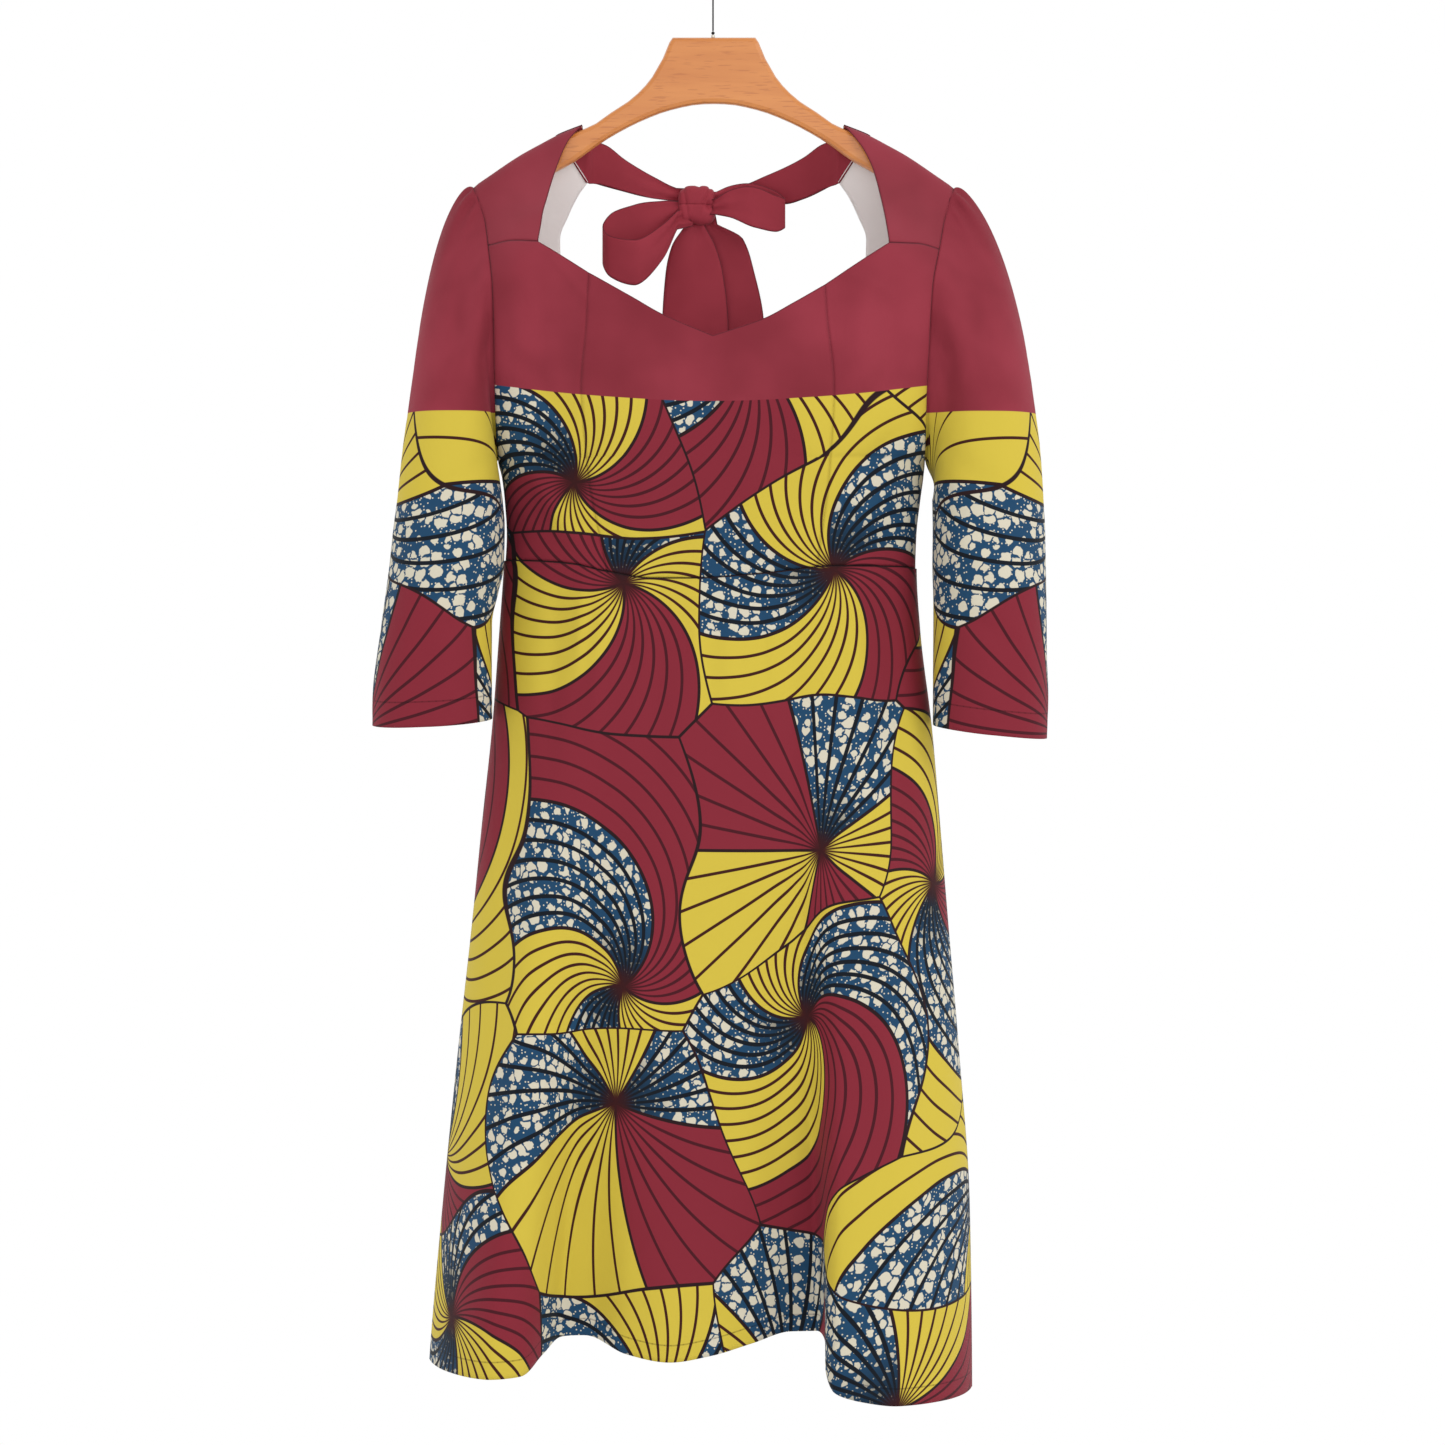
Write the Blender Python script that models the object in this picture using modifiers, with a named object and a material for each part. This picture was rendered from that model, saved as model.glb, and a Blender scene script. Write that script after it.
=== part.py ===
"""An ankara wax print dress on a flat wooden hanger, which hangs on a thin black cord.

Lengths are in millimetres and become metres where a mesh is made. A drop is a distance
below the place where the cord loop is held, which is the origin. Left and right are as
seen from the front, the front faces -Y, and +X is on the right.

The trunk of the dress is one hollow form. depth() says how far its cloth lies before or
behind the middle plane at any place across and any drop. Each panel is a grid between its
own seams, laid on that form and given a wall by Solidify.
"""
import math

import bmesh
import bpy
import numpy as np

MM = 0.001


def table(columns, *rows):
    """Rows of sizes under named columns. The first column is the one to read by."""
    return {name: np.array([row[n] for row in rows], float) for n, name in enumerate(columns.split())}


# Cloth
WALL = 1.4  # wall of a cloth solid, thicker than the real cotton
SEAM_GAP = 0.3  # between two pieces at a seam
ARMHOLE_GAP = 0.7  # the gathered cap's wall leans toward the armhole, so it starts farther out
CUTTER_DEPTH = 30.0  # of the block that trims panels at the middle plane
ON_MIDDLE_PLANE = 0.01  # an edge this near the middle plane is parted by the seam cutter
ROUNDNESS = 2.4  # power of the trunk's outline seen from above
SIDE_TURN = 2.1  # how squarely the trunk turns at the side seams
STRAP_TURN = 1.25  # the same near the shoulders, where it lies flatter

# Trunk by drop: half width to the armhole or side seam on either side, half depth at the
# middle of the front and of the back.
TRUNK = table(
    "drop left right front back",
    (125, 189.0, 190.0, 50, 40),
    (174, 187.0, 188.0, 54, 46),
    (203, 177.5, 180.0, 57, 50),
    (223, 174.4, 176.0, 59, 53),
    (255, 170.6, 170.0, 62, 56),
    (300, 169.5, 167.5, 66, 58),
    (345, 169.0, 165.6, 68, 59),
    (387, 168.0, 165.5, 64, 57),
    (400, 165.0, 164.4, 62, 56),
    (418, 162.8, 162.0, 58, 53),
    (445, 161.2, 159.0, 52, 48),
    (472, 162.6, 158.2, 48, 45),
    (520, 166.0, 161.0, 54, 51),
    (595, 171.6, 170.0, 61, 61),
    (665, 179.0, 176.0, 65, 68),
    (750, 187.5, 183.0, 68, 72),
    (845, 198.0, 191.0, 71, 76),
    (965, 210.0, 199.5, 74, 80),
    (1080, 220.0, 201.3, 76, 84),
    (1112, 222.0, 201.5, 76, 84),
)
BUST = {"across": 76, "drop": 338, "wide": 44, "tall": 50, "rise": 6}  # fullness of each side

# Shoulder seam by its distance from the middle, the same on both sides.
SHOULDER = table(
    "across drop",
    (100, 125.0),
    (120, 132.8),
    (135, 140.6),
    (151, 149.5),
    (177, 167.0),
    (188, 174.5),
)
NECK_POINT = 102.0  # where the shoulder seam starts, from the middle
TIP_DROP = 174.0  # shoulder tip
ROLL_DEPTH = 9.3  # the cloth rolls over the hanger's arm to this half depth
ROLL_DROP = 11.0  # within this drop
SHOULDER_OPENS = 95.0  # drop below the shoulder seam where the trunk has its full depth

# Armhole: an upright oval that narrows to the shoulder tip and closes at the underarm.
ARMHOLE_WIDEST = 300.0
UNDERARM = 387.0
ARMHOLE_HALF = {"front": 42.0, "back": 37.0}

# Seams and edges of the front, as places (x, drop).
YOKE_SEAM = {
    "left": [(-174.4, 222.9), (-155.8, 220.0), (-134.7, 221.4)],
    "right": [(175.7, 225.9), (157.5, 222.2), (135.7, 222.4)],
}
STRAP_EDGE = {
    "left": [(-102.0, 125.8), (-112.8, 139.4), (-122.5, 163.9), (-129.0, 189.2), (-134.7, 221.4)],
    "right": [(102.0, 125.8), (117.4, 146.6), (124.9, 163.9), (131.5, 192.0), (135.7, 222.4)],
}
NECKLINE_SIDE = {
    "left": [(-134.7, 221.4), (-116.0, 233.1), (-95.5, 246.3)],
    "right": [(135.7, 222.4), (114.0, 236.7), (86.0, 255.5)],
}
NECKLINE_CENTRE = {
    "left": [(-95.5, 246.3), (-61.3, 265.7), (-38.2, 279.1), (0.0, 295.5)],
    "right": [(0.0, 295.5), (40.0, 281.8), (62.0, 269.6), (86.0, 255.5)],
}
PRINCESS_SEAM = {
    "left": [(-95.5, 246.3), (-97.0, 290.0), (-101.0, 336.0), (-96.0, 400.0)],
    "right": [(86.0, 255.5), (87.5, 277.0), (93.0, 330.0), (89.0, 400.0)],
}

# Waist seam by place across.
WAIST = {
    "front": table(
        "x drop",
        (-163, 465.6),
        (-138, 466.6),
        (-108, 469.3),
        (-83, 475.0),
        (-47, 480.5),
        (-16, 480.5),
        (40, 476.7),
        (97, 470.8),
        (143, 470.8),
        (159, 471.9),
    ),
    "back": table("x drop", (-163, 465.6), (0, 470.0), (159, 471.9)),
}

# Back scoop by drop: half width of the opening.
SCOOP = [
    (98.0, 166.5),
    (106.0, 177.0),
    (114.0, 192.0),
    (121.0, 210.0),
    (120.0, 240.0),
    (108.0, 290.0),
    (86.0, 340.0),
    (52.0, 381.0),
    (20.0, 398.0),
    (0.0, 400.0),
]
TIE_SEAM_TOP = (121.0, 133.3)  # shoulder end of the seam between neck tie and back

# Hem. along is the place on the cut cloth, across its place in the finished width, push is
# toward the viewer where negative, and drop is the hem's own.
HEM = {
    "front": table(
        "along across push drop",
        (0.000, -1.00, 0, 1088),
        (0.097, -0.93, -30, 1088),
        (0.183, -0.775, -56, 1088),
        (0.224, -0.66, -38, 1087),
        (0.274, -0.59, -5, 1074),
        (0.315, -0.53, 22, 1064),
        (0.342, -0.45, 24, 1063),
        (0.399, -0.30, 8, 1075),
        (0.451, -0.15, 1, 1080),
        (0.501, 0.00, 4, 1075),
        (0.548, 0.15, 13, 1067),
        (0.599, 0.30, 27, 1060),
        (0.630, 0.40, 28, 1060),
        (0.657, 0.427, 8, 1066),
        (0.693, 0.425, -16, 1082),
        (0.724, 0.45, -36, 1097),
        (0.757, 0.55, -46, 1104),
        (0.804, 0.70, -50, 1108),
        (0.875, 0.88, -38, 1108),
        (0.940, 0.97, -18, 1108),
        (1.000, 1.00, 0, 1109),
    ),
    "back": table(
        "along across push drop",
        (0.00, -1.00, 0, 1088),
        (0.15, -0.74, 22, 1080),
        (0.33, -0.40, -12, 1071),
        (0.50, 0.00, 17, 1070),
        (0.66, 0.34, -12, 1070),
        (0.84, 0.72, 22, 1084),
        (1.00, 1.00, 0, 1109),
    ),
}
FOLD_GROWTH = 1.8  # power by which the hem's folds grow down the skirt
FOLD_SPREAD = 1.3  # power by which the cloth moves across to its place at the hem

# Sleeves by drop: outer and inner side from the middle, half depth, and how far forward
# the sleeve hangs.
SLEEVE = {
    "left": table(
        "drop outer inner depth forward",
        (418, 244.8, 163.4, 50, 16),
        (440, 247.3, 161.4, 51, 22),
        (470, 250.3, 161.9, 51, 25),
        (490, 252.8, 166.0, 50, 26),
        (515, 256.2, 171.0, 48, 28),
        (545, 259.8, 171.0, 44, 30),
        (600, 262.9, 170.4, 37, 31),
    ),
    "right": table(
        "drop outer inner depth forward",
        (418, 256.8, 170.8, 50, 10),
        (440, 257.8, 171.0, 51, 13),
        (470, 258.2, 170.6, 51, 16),
        (500, 258.5, 171.2, 49, 19),
        (545, 258.6, 170.8, 45, 22),
        (610, 258.6, 170.4, 38, 23),
    ),
}
CUFF = {
    "left": {"drop": 591.0, "outer": 2.5, "front": 4.0},
    "right": {"drop": 598.5, "outer": 5.0, "front": 3.0},
}
CAP_OUT = {"left": 29.5, "right": 31.5}  # how far the cap leans out from the shoulder tip
CAP_LIFT = {"out_underarm": 1.5, "down": 10.0, "down_underarm": 11.0}
CAP_HANG = {"left": 14.0, "right": 6.0, "up": 0.54, "clear": 5.0}  # onto the upper arm
SLEEVE_ROUNDNESS = 2.15
SLEEVE_TWIST = {"left": 0.32, "right": 0.22}  # radians by which the underarm line runs behind
GATHER = {"pitch": 12.0, "rise": 1.5, "reach": 28.0}  # small gathers either side of the tip

# Neck ties. They start on the shoulder seam and on the back, and run to the knot.
TIE_START_UPPER = [(102.0, 125.8), (101.6, 131.0), (98.0, 134.5)]
TIE_START_LOWER = [(120.4, 133.0), (109.0, 150.0), (98.0, 166.5)]
TIE = {
    "left": table(
        "across upper lower",
        (12.0, 171.0, 179.0),
        (28.6, 168.2, 178.4),
        (46.7, 160.1, 177.0),
        (57.7, 154.5, 175.3),
        (70.0, 147.5, 172.6),
        (84.8, 137.6, 169.4),
        (98.0, 134.5, 166.5),
    ),
    "right": table(
        "across upper lower",
        (0.0, 172.0, 180.0),
        (26.8, 165.4, 180.5),
        (40.0, 160.2, 182.0),
        (57.0, 153.5, 182.0),
        (71.5, 146.6, 178.5),
        (86.3, 137.4, 172.5),
        (98.0, 134.5, 166.5),
    ),
}
TIE_SWEEP = 0.6

KNOT = {"x": -12.8, "y": 50.0, "drop": 182.5, "wide": 14.2, "deep": 9.5, "tall": 15.0}
TIE_END_Y = 54.0
KNOT_GAP = 0.35
LEAST_BULGE = 0.12  # share of the knot's size under which a ribbon end passes it

# Bow loops: middle line of the ribbon from the knot round to the knot, and its width.
LOOP = {
    "left": table(
        "along x drop y width",
        (0.00, -27.0, 184.0, 48.0, 9),
        (0.13, -40.0, 190.5, 47.5, 20),
        (0.30, -62.0, 199.0, 47.0, 33),
        (0.42, -80.0, 205.5, 43.5, 33),
        (0.50, -87.0, 214.5, 38.0, 29),
        (0.58, -82.0, 224.0, 33.0, 32),
        (0.72, -62.0, 231.5, 31.0, 33),
        (0.87, -40.0, 216.0, 37.0, 22),
        (1.00, -27.0, 194.0, 43.0, 7),
    ),
    "right": table(
        "along x drop y width",
        (0.00, 1.4, 177.0, 47.0, 9),
        (0.13, 14.0, 177.5, 44.0, 17),
        (0.30, 33.0, 178.5, 40.0, 26),
        (0.42, 49.0, 184.0, 36.5, 26),
        (0.50, 56.5, 189.5, 32.5, 22),
        (0.58, 51.0, 194.0, 29.0, 24),
        (0.72, 33.0, 193.0, 28.0, 21),
        (0.87, 14.0, 188.5, 34.0, 14),
        (1.00, 1.4, 187.0, 42.0, 8),
    ),
}

# Bow tails by drop: their two edges, and how far back they hang. They pass outside the back.
TAIL = {
    "left": table(
        "drop start end y",
        (198, -22.0, -7.0, 50.0),
        (215, -33.0, 2.0, 51.0),
        (234, -37.5, 7.5, 53.0),
        (270, -40.3, 11.8, 56.0),
        (330, -42.0, 13.0, 60.0),
        (390, -43.0, 14.0, 62.3),
        (440, -43.5, 14.5, 62.6),
    ),
    "right": table(
        "drop start end y",
        (196, -8.0, 1.0, 52.2),
        (208, -9.0, 23.5, 54.8),
        (234, -11.0, 32.5, 58.5),
        (270, -13.0, 40.0, 62.0),
        (330, -15.0, 43.5, 66.0),
        (390, -16.0, 45.0, 68.5),
        (440, -16.5, 46.0, 68.8),
    ),
}
TAIL_END = {"left": (438.0, 425.0), "right": (418.0, 431.0)}  # drop at its two edges
TAIL_TROUGH = 2.2  # depth of the soft fold down each tail

# Hanger board by distance from the middle, inside the shoulders where the photo hides it.
HANGER_HALF_DEPTH = 5.5
HANGER_EDGE = 3.5  # radius of its rounded edges
HANGER_X = 0.8
HANGER_TOP = 57.7
HANGER_NECK = [
    (32.2, 57.7),
    (34.8, 61.5),
    (40.0, 74.1),
    (48.2, 88.4),
    (53.4, 95.0),
    (59.4, 101.2),
    (67.0, 107.6),
    (80.6, 116.4),
]
HANGER_NECK_END = [(92.0, 124.6), (100.0, 128.4)]
HANGER_UNDER_SEAM = 3.6  # the arm's top edge below the shoulder seam
HANGER_UNDERSIDE = table(
    "across drop",
    (0, 109.0),
    (10, 109.3),
    (34, 113.9),
    (57, 122.5),
    (86, 138.1),
    (109, 154.4),
    (122, 161.5),
    (150, 177.0),
    (168, 186.5),
)
ARM_END = {"from": 160.0, "x": 162.0, "drop": 174.5, "radius": 9.5}  # its rounded end

# Cord, from the eye on the hanger to the loop that is held.
CORD_RADIUS = 0.62
LOOP_RADIUS = 5.82  # of the cord loop's middle line
KNOT_RADIUS = 1.5
EYE_KNOT_RADIUS = 1.4
EYE_RADIUS = 1.5
EYE_TALL = 1.8

# How finely each piece is divided
WAIST_COLUMNS = {"front": 34, "back": 24}
SIDE_COLUMNS = 10  # waist columns on each side front panel
YOKE_COLUMNS = 5
SIDE_ROWS = (11, 4)  # above and below the underarm
UNDERARM_SHARE = 0.665  # of the way down the front panels
YOKE_ROWS = (0, 0.024, 0.08, 0.17, 0.29, 0.43, 0.58, 0.73, 0.87, 1)
SKIRT_ROWS = {"front": 12, "back": 11}
BACK_COLUMNS = {"shoulder": 3, "armhole": 12, "side": 4}
BACK_INNER_SHARES = (0.0, 0.07, 0.52, 0.68, 1.0)  # of the scoop, at the outer corners
BACK_ROWS = 6
SLEEVE_COLUMNS = (9, 13)  # of half the armhole: within the gathers and below them
CAP_ROWS = (0, 0.02, 0.05, 0.09, 0.15, 0.25, 0.4, 0.58, 0.78, 1)
HANGING_ROWS = 5
TIE_START_SHARES = (0, 0.08, 0.22, 0.5, 1)
RIBBON_COLUMNS = 4

MAROON = (0.255, 0.043, 0.062)
PRINT_YELLOW = (0.680, 0.520, 0.070)
HONEY_WOOD = (0.700, 0.260, 0.060)
CORD_BLACK = (0.010, 0.010, 0.010)
PALE_METAL = (0.600, 0.560, 0.500)


# Curves and grids
def through(xs, ys, at):
    """A smooth line through (xs, ys) that never swings past its own points."""
    step = np.diff(xs)
    slope = np.diff(ys) / step
    lean = np.concatenate([slope[:1], np.zeros(len(slope) - 1), slope[-1:]])
    same = slope[:-1] * slope[1:] > 0
    before = slope[:-1][same]
    after = slope[1:][same]
    lean[1:-1][same] = 2 * before * after / (before + after)
    at = np.clip(at, xs[0], xs[-1])
    k = np.clip(np.searchsorted(xs, at, side="right") - 1, 0, len(step) - 1)
    t = (at - xs[k]) / step[k]
    rise = ys[k] * (1 + 2 * t) * (1 - t) ** 2 + ys[k + 1] * t * t * (3 - 2 * t)
    return rise + step[k] * t * (1 - t) * (lean[k] * (1 - t) - lean[k + 1] * t)


def read(rows, column, at):
    """A column of a table, read at places of its first column."""
    return through(next(iter(rows.values())), rows[column], np.asarray(at, float))


def along(points, shares):
    """Points at shares of the way along a smooth curve through a few points."""
    points = np.asarray(points, float)
    way = np.concatenate([[0], np.cumsum(np.linalg.norm(np.diff(points, axis=0), axis=1))])
    return np.stack([through(way, line, np.asarray(shares) * way[-1]) for line in points.T], 1)


def ease(t):
    """0 to 1 with soft ends."""
    t = np.clip(t, 0, 1)
    return t * t * (3 - 2 * t)


def shares_of(count, power=1.0):
    """count + 1 numbers from 0 to 1, closer near 0 with a power over 1."""
    return (np.arange(count + 1) / count) ** power


def front_rows():
    """Shares down the front panels, closer together as they near the underarm."""
    above, below = SIDE_ROWS
    even = shares_of(above)
    upper = UNDERARM_SHARE * (0.35 * even + 0.65 * np.sin(math.pi / 2 * even))
    return np.concatenate([upper, UNDERARM_SHARE + (1 - UNDERARM_SHARE) * shares_of(below)[1:]])


def patch(top, bottom, start, end, across, down):
    """A grid that fills four edges: top and bottom run across, start and end run down."""
    s = np.asarray(across)[None, :, None]
    t = np.asarray(down)[:, None, None]
    ruled = (1 - t) * top[None] + t * bottom[None] + (1 - s) * start[:, None] + s * end[:, None]
    corners = (1 - t) * ((1 - s) * top[0] + s * top[-1]) + t * ((1 - s) * bottom[0] + s * bottom[-1])
    return ruled - corners


def unit(vectors):
    """The vectors at length 1."""
    return vectors / np.maximum(np.linalg.norm(vectors, axis=-1, keepdims=True), 1e-9)


def edge_shift(edge, inner, closed=False):
    """Half the seam gap, from an edge toward the line of points inside it."""
    tangent = np.gradient(edge, axis=0)
    if closed:
        tangent = np.roll(edge, -1, 0) - np.roll(edge, 1, 0)
    tangent = unit(tangent)
    inward = inner - edge
    inward -= (inward * tangent).sum(1, keepdims=True) * tangent
    on_middle = np.abs(edge[:, 1:2]) < ON_MIDDLE_PLANE
    return np.where(on_middle, 0, SEAM_GAP / 2 * unit(inward))


def drawn_in(grid, closed=False):
    """The grid with its edges drawn in by half the seam gap, along the cloth.

    Edges on the middle plane stay, because the seam cutter parts front from back there.
    """
    moved = grid.copy()
    for edge, inner in ((0, 1), (-1, -2)):
        moved[edge] += edge_shift(grid[edge], grid[inner], closed)
        if not closed:
            moved[:, edge] += edge_shift(grid[:, edge], grid[:, inner])
    return moved


FRONT_ROWS = front_rows()


# The trunk's form
def sign_of(side):
    return -1 if side == "left" else 1


def half_width(x, drop):
    """Half width of the trunk on the side where x is."""
    return np.where(np.asarray(x) < 0, read(TRUNK, "left", drop), read(TRUNK, "right", drop))


def outline(share, power):
    """Depth left at a share of the half width, from 1 in the middle to 0 at the side."""
    return (1 - np.clip(share, 0, 1) ** ROUNDNESS) ** power


def depth(x, drop, face):
    """y of the cloth's outer face at a place across and a drop."""
    x, drop = np.broadcast_arrays(np.asarray(x, float), np.asarray(drop, float))
    reach = np.maximum((drop - ARMHOLE_WIDEST) / (UNDERARM - ARMHOLE_WIDEST), 0)
    edge = ARMHOLE_HALF[face] * np.sqrt(np.clip(1 - reach**2, 0, 1))
    turned = ease((drop - TIP_DROP) / (UNDERARM - TIP_DROP))
    power = 1 / (STRAP_TURN + (SIDE_TURN - STRAP_TURN) * turned)
    share = np.abs(x) / half_width(x, drop)
    full = edge + (read(TRUNK, face, drop) - edge) * outline(share, power)
    if face == "front":
        across_it = (np.abs(x) - BUST["across"]) / BUST["wide"]
        down_it = (drop - BUST["drop"]) / BUST["tall"]
        bust = BUST["rise"] * np.exp(-(across_it**2) - down_it**2)
        full = full + bust * (1 - np.clip(share, 0, 1) ** 4)
    below = drop - read(SHOULDER, "drop", np.abs(x))
    roll = np.sqrt(1 - (1 - np.clip(below / ROLL_DROP, 0, 1)) ** 2)
    y = ROLL_DEPTH * roll + (full - ROLL_DEPTH) * ease(below / SHOULDER_OPENS)
    return -y if face == "front" else y


def laid(places, face):
    """Places (x, drop) laid on the trunk, as points (x, y, drop)."""
    x, drop = places[..., 0], places[..., 1]
    return np.stack([x, depth(x, drop, face), drop], -1)


def waist_line(face, shares):
    """Places on the waist seam, from the left side seam at 0 to the right one at 1."""
    shares = np.asarray(shares, float)
    across = 0.5 * (np.sin(math.pi * (shares - 0.5)) + 2 * shares - 1)
    x = across * half_width(across, 469.0)
    return np.stack([x, read(WAIST[face], "drop", x)], 1)


def side_drops(side, count):
    """Drops down the side seam, from the underarm to the waist."""
    waist = WAIST["front"]["drop"][0 if side == "left" else -1]
    return UNDERARM + (waist - UNDERARM) * shares_of(count)


def tip_drop(side):
    """Drop of the shoulder tip, where the shoulder seam meets the armhole."""
    return float(read(SHOULDER, "drop", half_width(sign_of(side), TIP_DROP)))


def side_edge(side, drops):
    """Places at the armhole or side seam at these drops."""
    sign = sign_of(side)
    return np.stack([sign * half_width(sign, drops), drops], 1)


# Objects
def make_material(name, colour, roughness, metallic=0.0):
    material = bpy.data.materials.new(name)
    material.use_nodes = True
    shader = material.node_tree.nodes["Principled BSDF"]
    shader.inputs["Base Color"].default_value = (*colour, 1)
    shader.inputs["Roughness"].default_value = roughness
    shader.inputs["Metallic"].default_value = metallic
    return material


def keep(thing, name, colour, roughness, metallic=0.0):
    """Names an object, gives it its own material and puts it in the dress's collection."""
    thing.name = name
    thing.data.name = name
    thing.data.materials.clear()
    thing.data.materials.append(make_material(name + "_finish", colour, roughness, metallic))
    for home in list(thing.users_collection):
        home.objects.unlink(thing)
    bpy.data.collections["ankara_wax_print_dress"].objects.link(thing)
    return thing


def grid_faces(grid, flip, closed=False):
    """Triangles between the points of a grid, numbered row by row, on the shorter diagonals."""
    rows, columns = grid.shape[:2]
    flat = grid.reshape(-1, 3)
    faces = []
    for r in range(rows - 1):
        for c in range(columns if closed else columns - 1):
            d = (c + 1) % columns
            a, b = r * columns + c, (r + 1) * columns + c
            e, f = (r + 1) * columns + d, r * columns + d
            falling = np.linalg.norm(flat[a] - flat[e]) < np.linalg.norm(flat[b] - flat[f])
            pair = [(a, b, e), (a, e, f)] if falling else [(a, b, f), (b, e, f)]
            faces += [face[::-1] for face in pair] if flip else pair
    return faces


def in_metres(points):
    """Points (x, y, drop) in millimetres as rows of x, y, z in metres."""
    flat = points.reshape(-1, 3) * MM
    return np.stack([flat[:, 0], flat[:, 1], -flat[:, 2]], 1).tolist()


def trunk_normals(points, face):
    """Outward directions of the trunk, which panels share where they meet at a seam."""
    x, drop = points[..., 0], points[..., 2]
    step = 0.4
    lean_x = (depth(x + step, drop, face) - depth(x - step, drop, face)) / (2 * step)
    lean_drop = (depth(x, drop + step, face) - depth(x, drop - step, face)) / (2 * step)
    normals = np.stack([-lean_x, np.ones_like(x), -lean_drop], -1)
    normals *= -1 if face == "front" else 1
    normals[..., 1] = np.where(np.abs(points[..., 1]) < ON_MIDDLE_PLANE, 0, normals[..., 1])
    return unit(normals)


def add_trunk_panel(name, places, face, colour, flip=False):
    """A bodice panel: its places laid on the trunk, with a wall inward along the normals."""
    grid = laid(places, face)
    outside = drawn_in(grid)
    inside = outside - WALL * trunk_normals(grid, face)
    rows, columns = grid.shape[:2]
    count = rows * columns
    faces = grid_faces(grid, flip)
    faces += [tuple(count + v for v in face[::-1]) for face in faces]
    top = list(range(columns))
    right = [columns - 1 + r * columns for r in range(rows)]
    bottom = [count - 1 - c for c in range(columns)]
    left = [(rows - 1 - r) * columns for r in range(rows)]
    rim = top[:-1] + right[:-1] + bottom[:-1] + left[:-1]
    for a, b in zip(rim, rim[1:] + rim[:1], strict=True):
        face = (a, b, count + b, count + a)
        faces.append(face[::-1] if flip else face)
    mesh = bpy.data.meshes.new(name)
    mesh.from_pydata(in_metres(outside) + in_metres(inside), [], faces)
    mesh.shade_smooth()
    return keep(bpy.data.objects.new(name, mesh), name, colour, 0.75)


def add_cloth(name, grid, colour, flip=False, closed=False, middle=False):
    """A cloth panel: an open sheet through a grid of points (x, y, drop), with a wall.

    The grid's faces look outward when its columns run to the right and its rows run down,
    as on the front. flip turns them. closed joins the last column to the first.
    """
    faces = grid_faces(grid, flip, closed)
    mesh = bpy.data.meshes.new(name)
    mesh.from_pydata(in_metres(grid), [], faces)
    mesh.shade_smooth()
    panel = bpy.data.objects.new(name, mesh)
    wall = panel.modifiers.new("wall", "SOLIDIFY")
    wall.thickness = WALL * MM
    wall.offset = 0 if middle else -1
    return keep(panel, name, colour, 0.75)


# Bodice
def princess(side, shares):
    """Places down a princess seam, from the neckline to the waist seam."""
    count = WAIST_COLUMNS["front"]
    column = SIDE_COLUMNS if side == "left" else count - SIDE_COLUMNS
    foot = waist_line("front", [column / count])[0]
    return along([*PRINCESS_SEAM[side], foot], shares)


def add_front_yoke(side):
    """The shoulder strap, from the shoulder seam down to the yoke seam."""
    sign = sign_of(side)
    across = shares_of(YOKE_COLUMNS)
    down = np.array(YOKE_ROWS)
    tip = sign * half_width(sign, TIP_DROP)
    x = tip + (sign * NECK_POINT - tip) * across
    top = np.stack([x, read(SHOULDER, "drop", np.abs(x))], 1)
    foot = YOKE_SEAM[side][0][1]
    armhole = side_edge(side, top[0, 1] + (foot - top[0, 1]) * down)
    bottom = along(YOKE_SEAM[side], across)
    bottom[0] = armhole[-1]
    strap = along(STRAP_EDGE[side], down)
    strap[0] = top[-1]
    places = patch(top, bottom, armhole, strap, across, down)
    add_trunk_panel("front_yoke_" + side, places, "front", MAROON, flip=side == "right")


def add_front_side(side):
    """The panel between the armhole and side seam and the princess seam."""
    above, below = SIDE_ROWS
    start = YOKE_SEAM[side][0][1]
    rounding = FRONT_ROWS[: above + 1] / UNDERARM_SHARE
    drops = np.concatenate([start + (UNDERARM - start) * rounding, side_drops(side, below)[1:]])
    down = FRONT_ROWS
    outer = side_edge(side, drops)
    yoke = along(YOKE_SEAM[side], shares_of(YOKE_COLUMNS))
    neck = along(NECKLINE_SIDE[side], shares_of(SIDE_COLUMNS - YOKE_COLUMNS))
    top = np.concatenate([yoke, neck[1:]])
    top[0] = outer[0]
    shares = np.arange(SIDE_COLUMNS + 1) / WAIST_COLUMNS["front"]
    bottom = waist_line("front", shares if side == "left" else 1 - shares)
    outer[-1] = bottom[0]
    inner = princess(side, down)
    places = patch(top, bottom, outer, inner, shares_of(SIDE_COLUMNS), down)
    add_trunk_panel("front_side_" + side, places, "front", PRINT_YELLOW, flip=side == "right")


def add_front_centre():
    """The middle front under the sweetheart neckline."""
    count = WAIST_COLUMNS["front"]
    half = count // 2 - SIDE_COLUMNS
    down = FRONT_ROWS
    left = along(NECKLINE_CENTRE["left"], shares_of(half))
    right = along(NECKLINE_CENTRE["right"], shares_of(half))
    top = np.concatenate([left, right[1:]])
    bottom = waist_line("front", np.arange(SIDE_COLUMNS, count - SIDE_COLUMNS + 1) / count)
    places = patch(top, bottom, princess("left", down), princess("right", down), shares_of(2 * half), down)
    add_trunk_panel("front_centre", places, "front", PRINT_YELLOW)


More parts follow.
